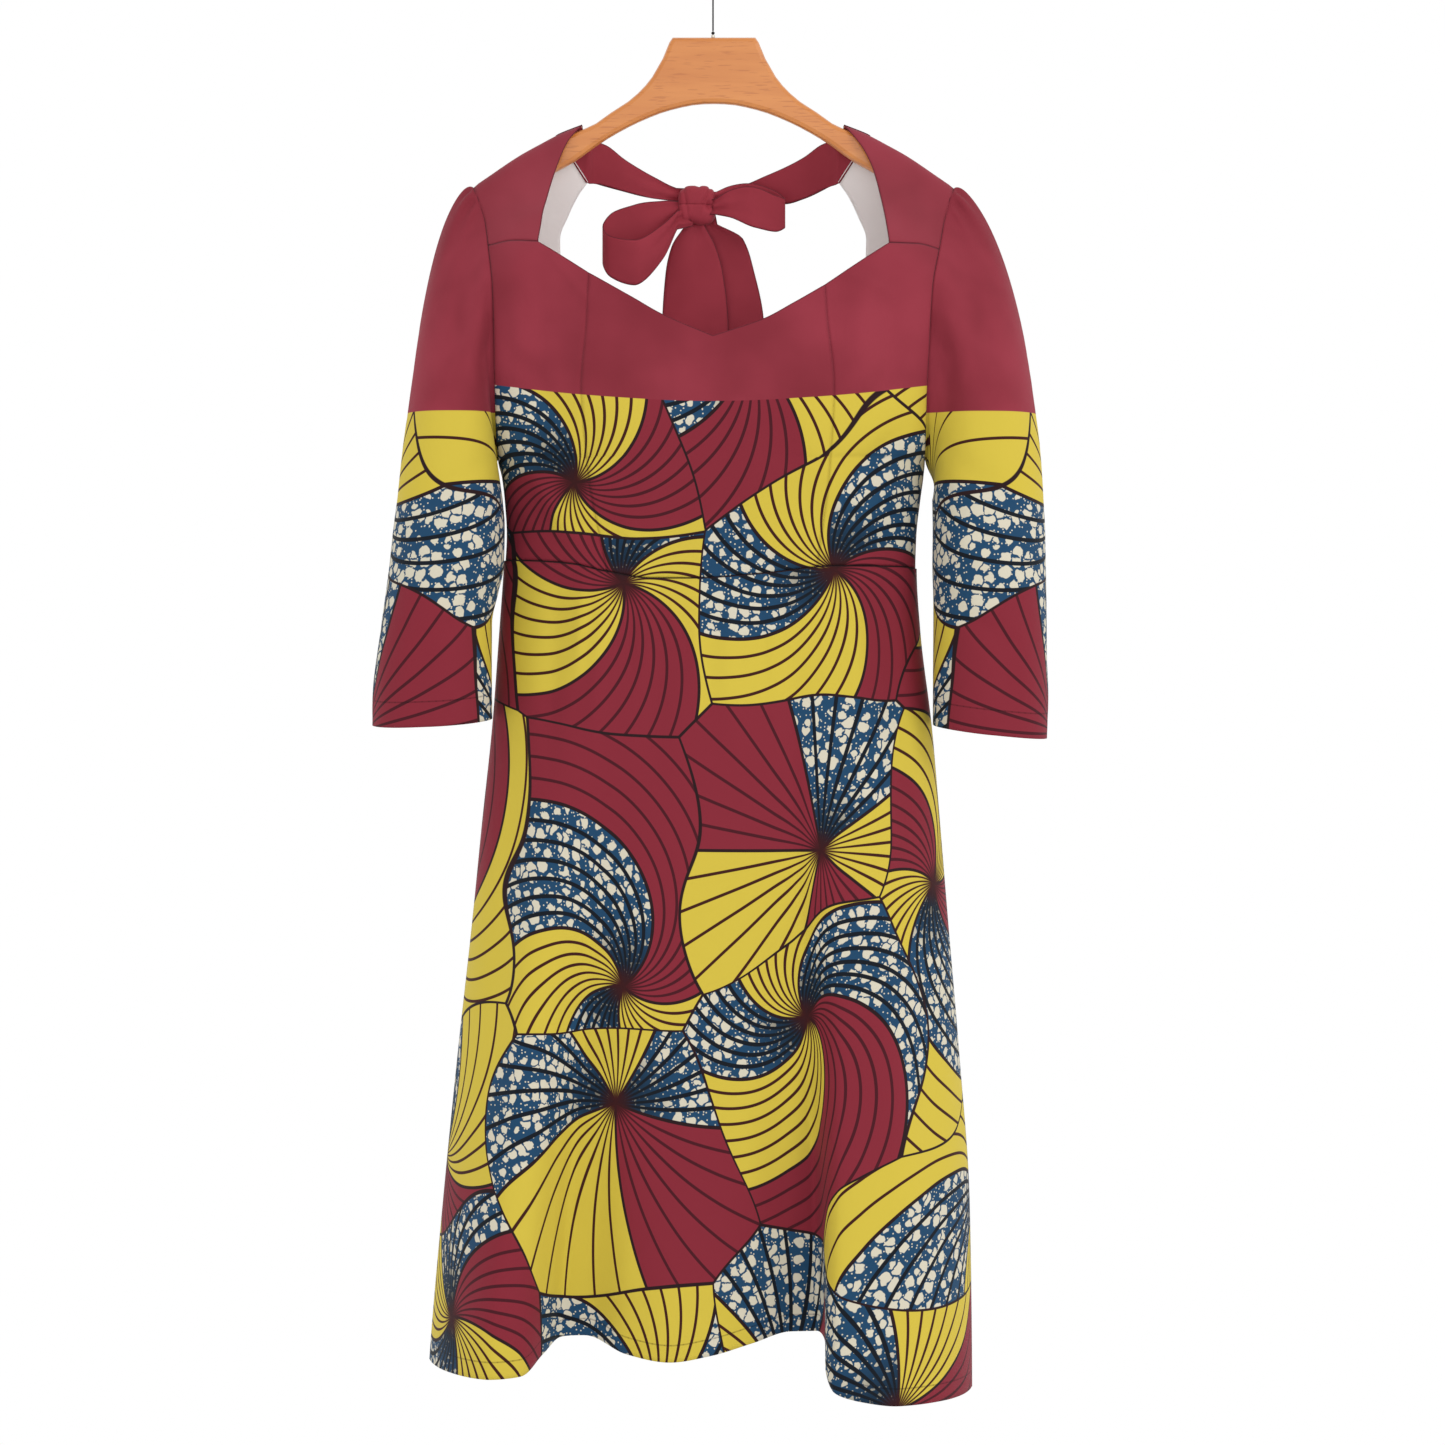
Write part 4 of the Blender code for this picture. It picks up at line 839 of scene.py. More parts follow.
def print_colour(tree, place):
    """Pinwheels of curved fans in three colours, with rays that run in to each hub."""
    spoke, rim, own, other = pinwheel(tree, place)
    radius = add_node(tree, "VectorMath", [spoke], operation="LENGTH")["Value"]
    x, y, _ = add_node(tree, "SeparateXYZ", [spoke])
    swirl = add_node(tree, "Math", [other, 2 * SWIRL, -SWIRL], operation="MULTIPLY_ADD")[0]
    twist = add_node(tree, "Math", [swirl, radius], operation="MULTIPLY")[0]
    turn = add_node(tree, "Math", [y, x], operation="ARCTAN2")[0]
    turn = add_node(tree, "Math", [turn, twist], operation="ADD")[0]
    # Fans are counted round the hub, from a start of its own and well above 0
    fan = add_node(tree, "Math", [turn, BLADES / (2 * math.pi), 20.0], operation="MULTIPLY_ADD")[0]
    fan = add_node(tree, "Math", [own, float(BLADES), fan], operation="MULTIPLY_ADD")[0]
    number = add_node(tree, "Math", [fan], operation="FLOOR")[0]
    number = add_node(tree, "Math", [number, float(BLADES)], operation="MODULO")[0]
    kind = add_node(tree, "Math", [own, 0.5], operation="GREATER_THAN")[0]
    number = add_node(tree, "Math", [kind, float(BLADES), number], operation="MULTIPLY_ADD")[0]
    maroon = fans_of(tree, number, "maroon")
    indigo = fans_of(tree, number, "indigo")

    # A swirled line lies closer to its neighbours than its distance from the hub says
    lean = add_node(tree, "Math", [twist, twist, 1.0], operation="MULTIPLY_ADD")[0]
    lean = add_node(tree, "Math", [lean], operation="SQRT")[0]
    arm = add_node(tree, "Math", [radius, lean], operation="DIVIDE")[0]
    half = [radius, RAY_HALF["growth"], RAY_HALF["at_hub"] * MM]
    half = add_node(tree, "Math", half, operation="MULTIPLY_ADD")[0]
    half = add_node(tree, "Math", [half, RAY_HALF["most"] * MM], operation="MINIMUM")[0]
    more = [indigo, RAY_HALF["more_on_indigo"], 1.0]
    more = add_node(tree, "Math", more, operation="MULTIPLY_ADD")[0]
    half = add_node(tree, "Math", [half, more], operation="MULTIPLY")[0]
    ray = line_gap(tree, fan, RAYS, arm)
    ray = add_node(tree, "Math", [ray, half], operation="SUBTRACT")[0]
    ray = add_node(tree, "MapRange", [ray, -RAY_BLUR * MM, RAY_BLUR * MM, 1.0, 0.0], **SOFT)[0]
    bound = add_node(tree, "Math", [line_gap(tree, fan, 1, arm), rim], operation="MINIMUM")[0]
    bound = add_node(tree, "MapRange", [bound, *metres(OUTLINE_HALF), 1.0, 0.0], **SOFT)[0]
    shadow = add_node(tree, "MapRange", [radius, *metres(HUB_SHADOW), 1.0, 0.0], **SOFT)[0]
    shadow = add_node(tree, "Math", [shadow, HUB_SHADOW_DARK], operation="MULTIPLY")[0]
    shadow = add_node(tree, "Math", [shadow, indigo], operation="MULTIPLY")[0]
    heart = add_node(tree, "MapRange", [radius, *metres(HEART), 1.0, 0.0], **SOFT)[0]
    heart = add_node(tree, "Math", [heart, HEART_DARK], operation="MULTIPLY")[0]

    grains = cream_grains(tree, place, radius)
    grained = {0: grains, 6: srgb(PRINT["indigo"][0]), 7: srgb(PRINT["cream"])}
    grained = add_node(tree, "Mix", grained, **COLOURS)[2]
    ground, ink = (
        add_node(tree, "Mix", {0: maroon, 6: srgb(yellow), 7: srgb(red)}, **COLOURS)[2]
        for yellow, red in zip(PRINT["yellow"], PRINT["maroon"], strict=True)
    )
    ground = add_node(tree, "Mix", {0: indigo, 6: ground, 7: grained}, **COLOURS)[2]
    ink = add_node(tree, "Mix", {0: indigo, 6: ink, 7: srgb(PRINT["indigo"][1])}, **COLOURS)[2]
    over = [(ray, ink), (shadow, ink), (bound, srgb(PRINT["outline"])), (heart, srgb(PRINT["heart"]))]
    colour = ground
    for share, upper in over:
        colour = add_node(tree, "Mix", {0: share, 6: colour, 7: upper}, **COLOURS)[2]
    return colour


def woven(tree, shader, place, strength):
    """Raises the threads across and along, and the slubs that leave the cloth faintly uneven."""
    wave = {"Vector": place, "Scale": WAVE_PERIOD / (THREAD_SPACING * MM), "Distortion": 0.6}
    across = add_node(tree, "TexWave", wave, bands_direction="X")["Fac"]
    lengthwise = add_node(tree, "TexWave", wave, bands_direction="Y")["Fac"]
    threads = add_node(tree, "Math", [across, lengthwise], operation="ADD")[0]
    slubs = {"Vector": place, "Scale": 1000 / SLUB_SPACING, "Detail": 4.0}
    slubs = add_node(tree, "TexNoise", slubs)["Fac"]
    height = add_node(tree, "Math", [threads, THREAD_SHARE, slubs], operation="MULTIPLY_ADD")[0]
    bump = {"Height": height, "Strength": strength, "Distance": THREAD_RELIEF * MM}
    tree.links.new(add_node(tree, "Bump", bump)[0], shader.inputs["Normal"])


def seam_shade_and_hem_stitches(tree, colour, painted_seam_shade, hem_line):
    """Lays painted shade in the groove of a seam and along a turned edge, and the dark line of a hem's
    stitches, over a colour.
    """
    seam, from_hem, _ = add_node(tree, "SeparateXYZ", [add_node(tree, "UVMap", uv_map="sewn")[0]])
    _, from_edge, _ = add_node(tree, "SeparateXYZ", [add_node(tree, "UVMap", uv_map="field")[0]])
    # painted shade in the groove of each seam
    seam = add_node(tree, "MapRange", [seam, *SEAM_LINE, 1.0, 0.0], **SOFT)[0]
    colour = add_node(tree, "Mix", {0: seam, 6: colour, 7: painted_seam_shade}, **COLOURS)[2]
    # painted shade along each turned edge
    edge = add_node(tree, "MapRange", [from_edge, *EDGE_LINE, 1.0, 0.0], **SOFT)[0]
    edge = add_node(tree, "Math", [edge, EDGE_DARK], operation="MULTIPLY")[0]
    colour = add_node(tree, "Mix", {0: edge, 6: colour, 7: srgb(PAINTED_SEAM_SHADE)}, **COLOURS)[2]
    if hem_line is None:
        return colour
    off = add_node(tree, "Math", [from_hem, hem_line], operation="SUBTRACT")[0]
    off = add_node(tree, "Math", [off], operation="ABSOLUTE")[0]
    line = add_node(tree, "MapRange", [off, *HEM_LINE, 1.0, 0.0], **SOFT)[0]
    along_hem = add_node(tree, "SeparateXYZ", [add_node(tree, "UVMap", uv_map="cut")[0]])[0]
    stitch = add_node(tree, "Math", [along_hem, 1000 / STITCH_SPACING], operation="MULTIPLY")[0]
    stitch = add_node(tree, "Math", [stitch, 0.5], operation="PINGPONG")[0]
    stitch = add_node(tree, "MapRange", [stitch, *STITCH_GAP, 1.0, 0.0], **SOFT)[0]
    faded = [stitch, -STITCH_DARK["less_on_it"], STITCH_DARK["between"]]
    faded = add_node(tree, "Math", faded, operation="MULTIPLY_ADD")[0]
    line = add_node(tree, "Math", [line, faded], operation="MULTIPLY")[0]
    dark = add_node(tree, "VectorMath", [colour, HEM_TINT], operation="MULTIPLY")[0]
    return add_node(tree, "Mix", {0: line, 6: colour, 7: dark}, **COLOURS)[2]


def dyed(tree, place, colours):
    """Two near colours that drift into each other, as dye takes unevenly."""
    cloud = {"Vector": place, "Scale": 1000 / DYE_CLOUD, "Detail": 3.0}
    cloud = add_node(tree, "TexNoise", cloud)["Fac"]
    cloud = add_node(tree, "MapRange", [cloud, *DYE_DRIFT, 1.0, 0.0], **SOFT)[0]
    return add_node(tree, "Mix", {0: cloud, 6: srgb(colours[0]), 7: srgb(colours[1])}, **COLOURS)[2]


# How each finish takes the light
PRINTED_FINISH = {
    "Roughness": 0.78,
    "Sheen Weight": 0.03,
    "Sheen Roughness": 0.5,
    "Specular IOR Level": 0.18,
}
PLAIN_FINISH = {
    "Roughness": 0.7,
    "Sheen Weight": 0.05,
    "Sheen Roughness": 0.45,
    "Specular IOR Level": 0.22,
}
VARNISH_FINISH = {"Roughness": 0.36, "Coat Weight": 0.22, "Coat Roughness": 0.18}


def printed_cotton(name, hem_line):
    """Roller-printed cotton, dyed plain above the print's edge: matt, with fine dry threads."""
    material, tree, shader = new_material(name, PRINTED_FINISH)
    place = add_node(tree, "UVMap", uv_map="cut")[0]
    below = add_node(tree, "SeparateXYZ", [add_node(tree, "UVMap", uv_map="field")[0]])[0]
    plain = [below, -PRINT_EDGE_BLUR, PRINT_EDGE_BLUR, 1.0, 0.0]
    plain = add_node(tree, "MapRange", plain, **SOFT)[0]
    colour = print_colour(tree, place)
    colour = {0: plain, 6: colour, 7: dyed(tree, place, PLAIN_CLOTH)}
    colour = add_node(tree, "Mix", colour, **COLOURS)[2]
    # the seams' painted shade, darker over the print than over the plain cloth
    painted_seam_shade = {0: plain, 6: srgb(PRINT["outline"]), 7: srgb(PAINTED_SEAM_SHADE)}
    painted_seam_shade = add_node(tree, "Mix", painted_seam_shade, **COLOURS)[2]
    colour = seam_shade_and_hem_stitches(tree, colour, painted_seam_shade, hem_line)
    tree.links.new(colour, shader.inputs["Base Color"])
    woven(tree, shader, place, THREADS_SHOW["right_side"])
    return material


def plain_cotton(name, colours):
    """Plain dyed cotton of the yokes, ties and bow: matt, with a soft sheen from its nap."""
    material, tree, shader = new_material(name, PLAIN_FINISH)
    place = add_node(tree, "UVMap", uv_map="cut")[0]
    # with painted shade in its seams and along its turned edges
    colour = seam_shade_and_hem_stitches(tree, dyed(tree, place, colours), srgb(PAINTED_SEAM_SHADE), None)
    tree.links.new(colour, shader.inputs["Base Color"])
    woven(tree, shader, place, THREADS_SHOW["right_side"])
    return material


def unprinted_wrong_side():
    """The cloth's wrong side, where little dye comes through: pale, greyish and dull."""
    material, tree, shader = new_material("unprinted_wrong_side", {"Roughness": 0.85})
    place = add_node(tree, "UVMap", uv_map="cut")[0]
    cloud = {"Vector": place, "Scale": 1000 / PALE_CLOUD, "Detail": 3.0}
    cloud = add_node(tree, "TexNoise", cloud)["Fac"]
    colour = {0: cloud, 6: srgb(PALE_CLOTH[0]), 7: srgb(PALE_CLOTH[1])}
    tree.links.new(add_node(tree, "Mix", colour, **COLOURS)[2], shader.inputs["Base Color"])
    woven(tree, shader, place, THREADS_SHOW["wrong_side"])
    return material


def varnished_beech():
    """Honey-stained beech, sawn and varnished: grain and short flecks under a satin gloss."""
    material, tree, shader = new_material("varnished_beech", VARNISH_FINISH)
    place = add_node(tree, "TexCoord")["Object"]
    grain = [place, tuple(1000 / size for size in BEECH_GRAIN)]
    grain = add_node(tree, "VectorMath", grain, operation="MULTIPLY")[0]
    grain = {"Vector": grain, "Scale": 1.0, "Detail": 5.0, "Distortion": 0.6}
    grain = add_node(tree, "TexNoise", grain)["Fac"]
    fleck = [place, tuple(1000 / size for size in BEECH_FLECKS)]
    fleck = add_node(tree, "VectorMath", fleck, operation="MULTIPLY")[0]
    fleck = add_node(tree, "TexNoise", {"Vector": fleck, "Scale": 1.0})["Fac"]
    fleck = add_node(tree, "MapRange", [fleck, *FLECK_NOISE, FLECK_DARK, 0.0], **SOFT)[0]
    colour = {0: grain, 6: srgb(BEECH["light"]), 7: srgb(BEECH["dark"])}
    colour = add_node(tree, "Mix", colour, **COLOURS)[2]
    colour = {0: fleck, 6: colour, 7: srgb(BEECH["fleck"])}
    tree.links.new(add_node(tree, "Mix", colour, **COLOURS)[2], shader.inputs["Base Color"])
    return material


def twisted_cotton():
    """Black cotton cord, dyed in the yarn: dull, with no gloss."""
    return new_material("twisted_black_cotton", {"Base Color": srgb("#141212"), "Roughness": 0.8})[0]


def brushed_steel():
    """Brushed steel of the cord's eye: bright, with a soft blurred shine."""
    finish = {"Base Color": srgb("#CFC6B8"), "Roughness": 0.35, "Metallic": 1.0}
    return new_material("brushed_eye", finish)[0]


def painted_floor():
    """Plain pale floor, painted dull so that it shows no reflection."""
    return new_material("pale_floor", {"Base Color": srgb("#F2F1EF"), "Roughness": 0.8})[0]


# Sheets of cloth
CLOTH = 0.7  # thickness of a sheet
SEAM_DIP = 0.7  # how deep a sewn edge lies
SEAM_REACH = 1.7
FAINTER = 0.8  # a pressed seam shows as if it were this much farther away
SEAM_HOLDS = 7.0  # a seam keeps the creases flat this far from it
CREASE_GAIN = 1.5
CREASE_ENDS = 0.12  # share of its height, as part of a half wave, where a crease starts
FAR = 999.0  # from an edge of a kind that the sheet doesn't have
ALL_PRINT = 99.0  # below the print's edge, where a sheet is printed all over

SLEEVE_TUCK = ((3.0, 1.7), (1.0, 0.9))  # how far under the trunk and in, row by row
PRINT_EDGE = {"front": 345.8, "back": 346.0, "sleeve": 352.5}
PRINT_EDGE_RISE = 0.0005  # the front's print edge curves up to the sides
CUT_PLACE = {"front": (0.0, 0.0), "back": (1300.0, 200.0), "sleeve": (2600.0, 100.0)}
STRIP_PLACE = {"tie": 0.0, "loop": 200.0, "tail": 500.0, "knot": 800.0}  # along the ribbon cloth


def linked(name, data):
    """A new object in the scene, which rides on the part's one body."""
    piece = bpy.data.objects.new(name, data)
    bpy.context.scene.collection.objects.link(piece)
    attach(piece, "root")
    return piece


def grid_normals(grid, flip):
    """Outward directions of a grid's points."""
    normals = unit(np.cross(np.gradient(grid, axis=1), np.gradient(grid, axis=0)))
    return normals if flip else -normals


def edge_distance(grid, edges):
    """Distance along the cloth to the nearest of these edges, for each point."""
    from_start = distances(grid, 1)
    from_top = distances(grid, 0)
    found = {
        "start": from_start,
        "end": from_start[:, -1:] - from_start,
        "top": from_top,
        "bottom": from_top[-1:] - from_top,
    }
    nearest = np.full(grid.shape[:2], FAR)
    for edge in edges:
        nearest = np.minimum(nearest, found[edge])
    return nearest


def pressed(x, drop, creases):
    """How far the cloth stands out of its form at its creases."""
    rise = np.zeros_like(x)
    for x0, drop0, x1, drop1, wide, high in creases:
        run = np.array([x1 - x0, drop1 - drop0])
        t = ((x - x0) * run[0] + (drop - drop0) * run[1]) / (run @ run)
        inside = np.clip(t, 0, 1)
        away = np.hypot(x - x0 - inside * run[0], drop - drop0 - inside * run[1])
        fade = np.sin(math.pi * (CREASE_ENDS + (1 - 2 * CREASE_ENDS) * inside))
        rise += CREASE_GAIN * high * fade * np.exp(-((away / wide) ** 2))
    return rise


def creased(grid, normals, x, creases, seams):
    """The grid with its creases, which fade out at its seams."""
    held = 1 - np.exp(-((edge_distance(grid, seams) / SEAM_HOLDS) ** 2))
    return grid + (held * pressed(x, grid[..., 2], creases))[..., None] * normals


def add_sheet(
    node,
    grid,
    normals,
    cut,
    materials,
    below=None,
    sewn=(),
    faint=(),
    free=(),
    hem=(),
    flip=False,
    middle=False,
):
    """A thin sheet of cloth in place of a solid.

    Its UVs give its places on the flat cut cloth in metres, and in millimetres how far the
    nearest seam, hem and turned edge lie and how far below the print's edge a place is.
    """
    seam = np.minimum(edge_distance(grid, sewn), edge_distance(grid, faint) + FAINTER)
    from_edge = edge_distance(grid, free)
    from_hem = edge_distance(grid, hem)
    grid = grid - (SEAM_DIP * np.exp(-((seam / SEAM_REACH) ** 2)))[..., None] * normals
    rows, columns = grid.shape[:2]
    flat = grid.reshape(-1, 3) * MM
    verts = np.stack([flat[:, 0], flat[:, 1], -flat[:, 2]], 1)
    r, c = np.meshgrid(np.arange(rows - 1), np.arange(columns - 1), indexing="ij")
    a = (r * columns + c).ravel()
    faces = np.stack([a, a + columns, a + columns + 1, a + 1], 1)
    if flip:
        faces = faces[:, ::-1]
    mesh = bpy.data.meshes.new(node + "_cloth")
    mesh.from_pydata(verts.tolist(), [], faces.tolist())
    if below is None:
        below = -ALL_PRINT + 0 * seam
    layers = {
        "cut": cut * MM,
        "sewn": np.stack([seam, from_hem], -1),
        "field": np.stack([below, from_edge], -1),
    }
    for layer, values in layers.items():
        made = mesh.uv_layers.new(name=layer)
        corners = values.reshape(-1, 2)[faces.ravel()]
        made.data.foreach_set("uv", corners.astype(np.float32).ravel())
    mesh.shade_smooth()
    for material in materials:
        mesh.materials.append(material)
    piece = linked(node + "_cloth", mesh)
    shell = piece.modifiers.new("cloth", "SOLIDIFY")
    shell.thickness = CLOTH * MM
    shell.offset = 0 if middle else -1
    if len(materials) > 1:
        shell.material_offset = 1
    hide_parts(node)
    return piece


def arc(x, drop, face):
    """Length of cloth from the middle of the trunk to x, at one drop."""
    steps = np.linspace(0, 1, 25)[:, None, None]
    line = depth(x[None] * steps, drop[None] + 0 * steps, face)
    pieces = np.hypot(np.diff(line, axis=0), np.diff(x[None] * steps, axis=0))
    return np.sign(x) * pieces.sum(0)


def trunk_sheet(node, places, face, material, plain=False, **edges):
    """A sheet that lies on the trunk."""
    grid = laid(places, face)
    normals = trunk_normals(grid, face)
    grid = creased(grid, normals, grid[..., 0], CREASES[face], edges["sewn"])
    x, drop = places[..., 0], places[..., 1]
    across, down = CUT_PLACE[face]
    cut = np.stack([across + arc(x, drop, face), down - drop], -1)
    edge = PRINT_EDGE[face] - (PRINT_EDGE_RISE * x**2 if face == "front" else 0)
    below = None if plain else drop - edge
    return add_sheet(node, grid, normals, cut, [material, pale], below=below, **edges)


# Creases (x, drop) to (x, drop), their width and how far they stand out
CREASES = {
    "front": [
        (-150, 232, -146, 338, 11, 1.4),
        (-136, 240, -132, 338, 11, -1.8),
        (-100, 262, -92, 338, 13, 2.4),
        (-124, 232, -88, 276, 5, 1.3),
        (-70, 268, -36, 326, 11, -1.4),
        (-50, 285, -8, 335, 9, -1.2),
        (20, 300, 66, 326, 12, 1.3),
        (60, 275, 96, 250, 8, -1.0),
        (98, 246, 92, 336, 10, -1.7),
        (118, 240, 112, 336, 10, 2.2),
        (140, 244, 134, 336, 9, -1.4),
        (100, 244, 136, 262, 5, 1.2),
        (-112, 190, -150, 205, 7, 0.8),
        (128, 170, 150, 214, 8, -0.9),
        (-60, 330, -100, 430, 14, 1.6),
        (60, 335, 98, 430, 14, 1.6),
        (-20, 350, -30, 460, 16, -1.3),
        (30, 350, 34, 455, 15, 1.2),
        (-140, 400, -100, 462, 8, 1.7),
        (-148, 372, -112, 404, 8, -1.5),
        (140, 395, 104, 458, 8, 1.6),
        (146, 366, 116, 396, 8, -1.5),
        (-158, 300, -122, 345, 8, -1.3),
        (152, 300, 118, 350, 8, -1.4),
        (-66, 440, -52, 476, 6, 1.0),
        (76, 432, 60, 472, 6, 1.0),
    ],
    "back": [
        (-110, 300, -95, 440, 15, 1.6),
        (105, 310, 98, 440, 15, -1.5),
        (-140, 380, -116, 455, 9, -1.5),
        (135, 370, 112, 458, 9, 1.6),
        (-152, 250, -128, 320, 9, 1.2),
        (150, 240, 130, 312, 9, -1.2),
        (-30, 415, -34, 460, 12, 1.1),
        (34, 412, 30, 462, 12, -1.1),
        (-70, 402, -66, 462, 7, 1.0),
        (74, 404, 68, 462, 7, 1.1),
    ],
    "skirt_front": [
        (-120, 482, -128, 640, 10, 2.0),
        (-100, 483, -104, 560, 6, -1.4),
        (-84, 486, -92, 600, 9, -1.7),
        (-62, 486, -64, 560, 6, 1.3),
        (-40, 490, -46, 640, 12, 1.7),
        (-12, 492, -14, 570, 7, -1.2),
        (12, 492, 14, 610, 10, -1.5),
        (36, 488, 42, 575, 7, 1.4),
        (58, 486, 66, 640, 12, 1.8),
        (84, 484, 90, 570, 7, -1.3),
        (104, 484, 116, 600, 9, -1.7),
        (132, 482, 150, 700, 12, 1.6),
        (-150, 600, -170, 900, 14, 2.0),
        (-122, 760, -140, 1010, 16, -1.6),
        (-70, 700, -78, 960, 18, -1.8),
        (-30, 780, -34, 1000, 14, 1.3),
        (10, 720, 0, 980, 22, 1.6),
        (60, 640, 84, 880, 15, 1.4),
        (120, 700, 140, 950, 16, -1.9),
        (160, 760, 176, 1010, 12, 1.4),
    ],
    "skirt_back": [
        (-130, 483, -146, 680, 12, 1.8),
        (-104, 484, -114, 620, 9, -1.6),
        (-60, 486, -66, 620, 10, -1.7),
        (-30, 486, -34, 570, 8, 1.4),
        (0, 486, 4, 640, 12, 1.7),
        (28, 486, 34, 580, 8, -1.3),
        (56, 486, 64, 610, 10, -1.6),
        (84, 485, 92, 590, 8, 1.4),
        (110, 484, 124, 640, 12, 1.7),
        (-150, 700, -166, 980, 16, -1.6),
        (-80, 720, -90, 1000, 20, 1.8),
        (20, 700, 26, 990, 20, -1.8),
        (110, 700, 128, 980, 18, 1.7),
    ],
    # across is millimetres of cloth from the sleeve's underarm seam line
    "sleeve": [
        (60, 380, 120, 430, 9, 2.2),
        (50, 440, 105, 475, 9, -2.0),
        (56, 490, 120, 520, 10, 1.9),
        (48, 410, 92, 452, 6, 1.2),
        (-60, 390, -110, 430, 10, 1.9),
        (-52, 450, -104, 480, 9, -1.8),
        (-50, 500, -96, 530, 9, 1.5),
        (100, 250, 125, 340, 12, -1.7),
        (150, 260, 146, 350, 12, 1.4),
        (-130, 270, -120, 350, 12, -1.4),
        (40, 540, 44, 590, 9, 1.2),
        (120, 540, 124, 590, 10, -1.2),
        (-96, 520, -90, 590, 11, 1.3),
    ],
}


def front_yoke(side):
    """The strap, from the shoulder seam down to the yoke seam."""
    sign = sign_of(side)
    across = shares_of(YOKE_COLUMNS)
    down = shares_of(YOKE_ROW_COUNT, ROW_POWER["yoke"])
    tip = sign * half_width(sign, TIP_DROP)
    x = tip + (sign * NECK_POINT - tip) * across
    top = np.stack([x, read(SHOULDER, "drop", np.abs(x))], 1)
    foot = YOKE_SEAM[side][0][1]
    armhole = side_edge(side, top[0, 1] + (foot - top[0, 1]) * down)
    bottom = along(YOKE_SEAM[side], across)
    bottom[0] = armhole[-1]
    strap = along(STRAP_EDGE[side], down)
    strap[0] = top[-1]
    return trunk_sheet(
        "front_yoke_" + side,
        patch(top, bottom, armhole, strap, across, down),
        "front",
        plain_maroon,
        plain=True,
        sewn=("top", "start", "bottom"),
        free=("end",),
        flip=side == "right",
    )


def front_side(side):
    """The side front, from the yoke seam and neckline to the waist, out to the side seam."""
    start = YOKE_SEAM[side][0][1]
    rounding = FRONT_ROWS[: SIDE_ROWS[0] + 1] / UNDERARM_SHARE
    drops = np.concatenate([start + (UNDERARM - start) * rounding, side_drops(side, SIDE_ROWS[1])[1:]])
    outer = side_edge(side, drops)
    yoke = along(YOKE_SEAM[side], shares_of(YOKE_COLUMNS))
    neck = along(NECKLINE_SIDE[side], shares_of(SIDE_COLUMNS - YOKE_COLUMNS))
    top = np.concatenate([yoke, neck[1:]])
    top[0] = outer[0]
    shares = np.arange(SIDE_COLUMNS + 1) / WAIST_COLUMNS["front"]
    bottom = waist_line("front", shares if side == "left" else 1 - shares)
    outer[-1] = bottom[0]
    return trunk_sheet(
        "front_side_" + side,
        patch(top, bottom, outer, princess(side, FRONT_ROWS), shares_of(SIDE_COLUMNS), FRONT_ROWS),
        "front",
        printed,
        sewn=("start", "bottom"),
        faint=("end",),
        free=("top",),
        flip=side == "right",
    )


def front_centre():
    """The middle front, under the sweetheart neckline and between the princess seams."""
    count = WAIST_COLUMNS["front"]
    half = count // 2 - SIDE_COLUMNS
    neck_left = along(NECKLINE_CENTRE["left"], shares_of(half))
    neck_right = along(NECKLINE_CENTRE["right"], shares_of(half))
    top = np.concatenate([neck_left, neck_right[1:]])
    bottom = waist_line("front", np.arange(SIDE_COLUMNS, count - SIDE_COLUMNS + 1) / count)
    start = princess("left", FRONT_ROWS)
    end = princess("right", FRONT_ROWS)
    return trunk_sheet(
        "front_centre",
        patch(top, bottom, start, end, shares_of(2 * half), FRONT_ROWS),
        "front",
        printed,
        sewn=("bottom",),
        faint=("start", "end"),
        free=("top",),
    )


def bodice_back():
    """The back, in one piece round its scoop."""
    left_outer, left_inner = back_half("left")
    right_outer, right_inner = back_half("right")
    outer = np.concatenate([left_outer, right_outer[::-1][1:]])
    inner = np.concatenate([left_inner, right_inner[::-1][1:]])
    down = shares_of(BACK_ROWS, ROW_POWER["back"])[:, None, None]
    places = outer[None] * (1 - down) + inner[None] * down
    return trunk_sheet(
        "bodice_back", places, "back", printed, sewn=("top", "start", "end"), free=("bottom",)
    )


def skirt(face):
    """Half the skirt, from the waist seam to the hem with its folds."""
    shares = shares_of(SKIRT_COLUMNS[face])[None, :]
    down = shares_of(SKIRT_ROW_COUNT[face])[:, None]
    grid = skirt_point(face, shares, down)
    flip = face == "back"
    seams = ("start", "end", "top")
    normals = grid_normals(grid, flip)
    grid = creased(grid, normals, grid[..., 0], CREASES["skirt_" + face], seams)
    waist = waist_line(face, shares[0])[None]
    start = arc(waist[..., 0], waist[..., 1], face)[0]
    hem_length = distances(grid[-1], 0)[-1]
    widen = (shares - 0.5) * (hem_length - (start[-1] - start[0]))
    drop = waist[..., 1] + down * (read(HEM[face], "drop", shares) - waist[..., 1])
    across, top = CUT_PLACE[face]
    return add_sheet(
        "skirt_" + face,
        grid,
        normals,
        np.stack([across + start[None] + widen * down, top - drop], -1),
        [printed_skirt, pale],
        below=ALL_PRINT + 0 * grid[..., 0],
        sewn=seams,
        hem=("bottom",),
        flip=flip,
    )


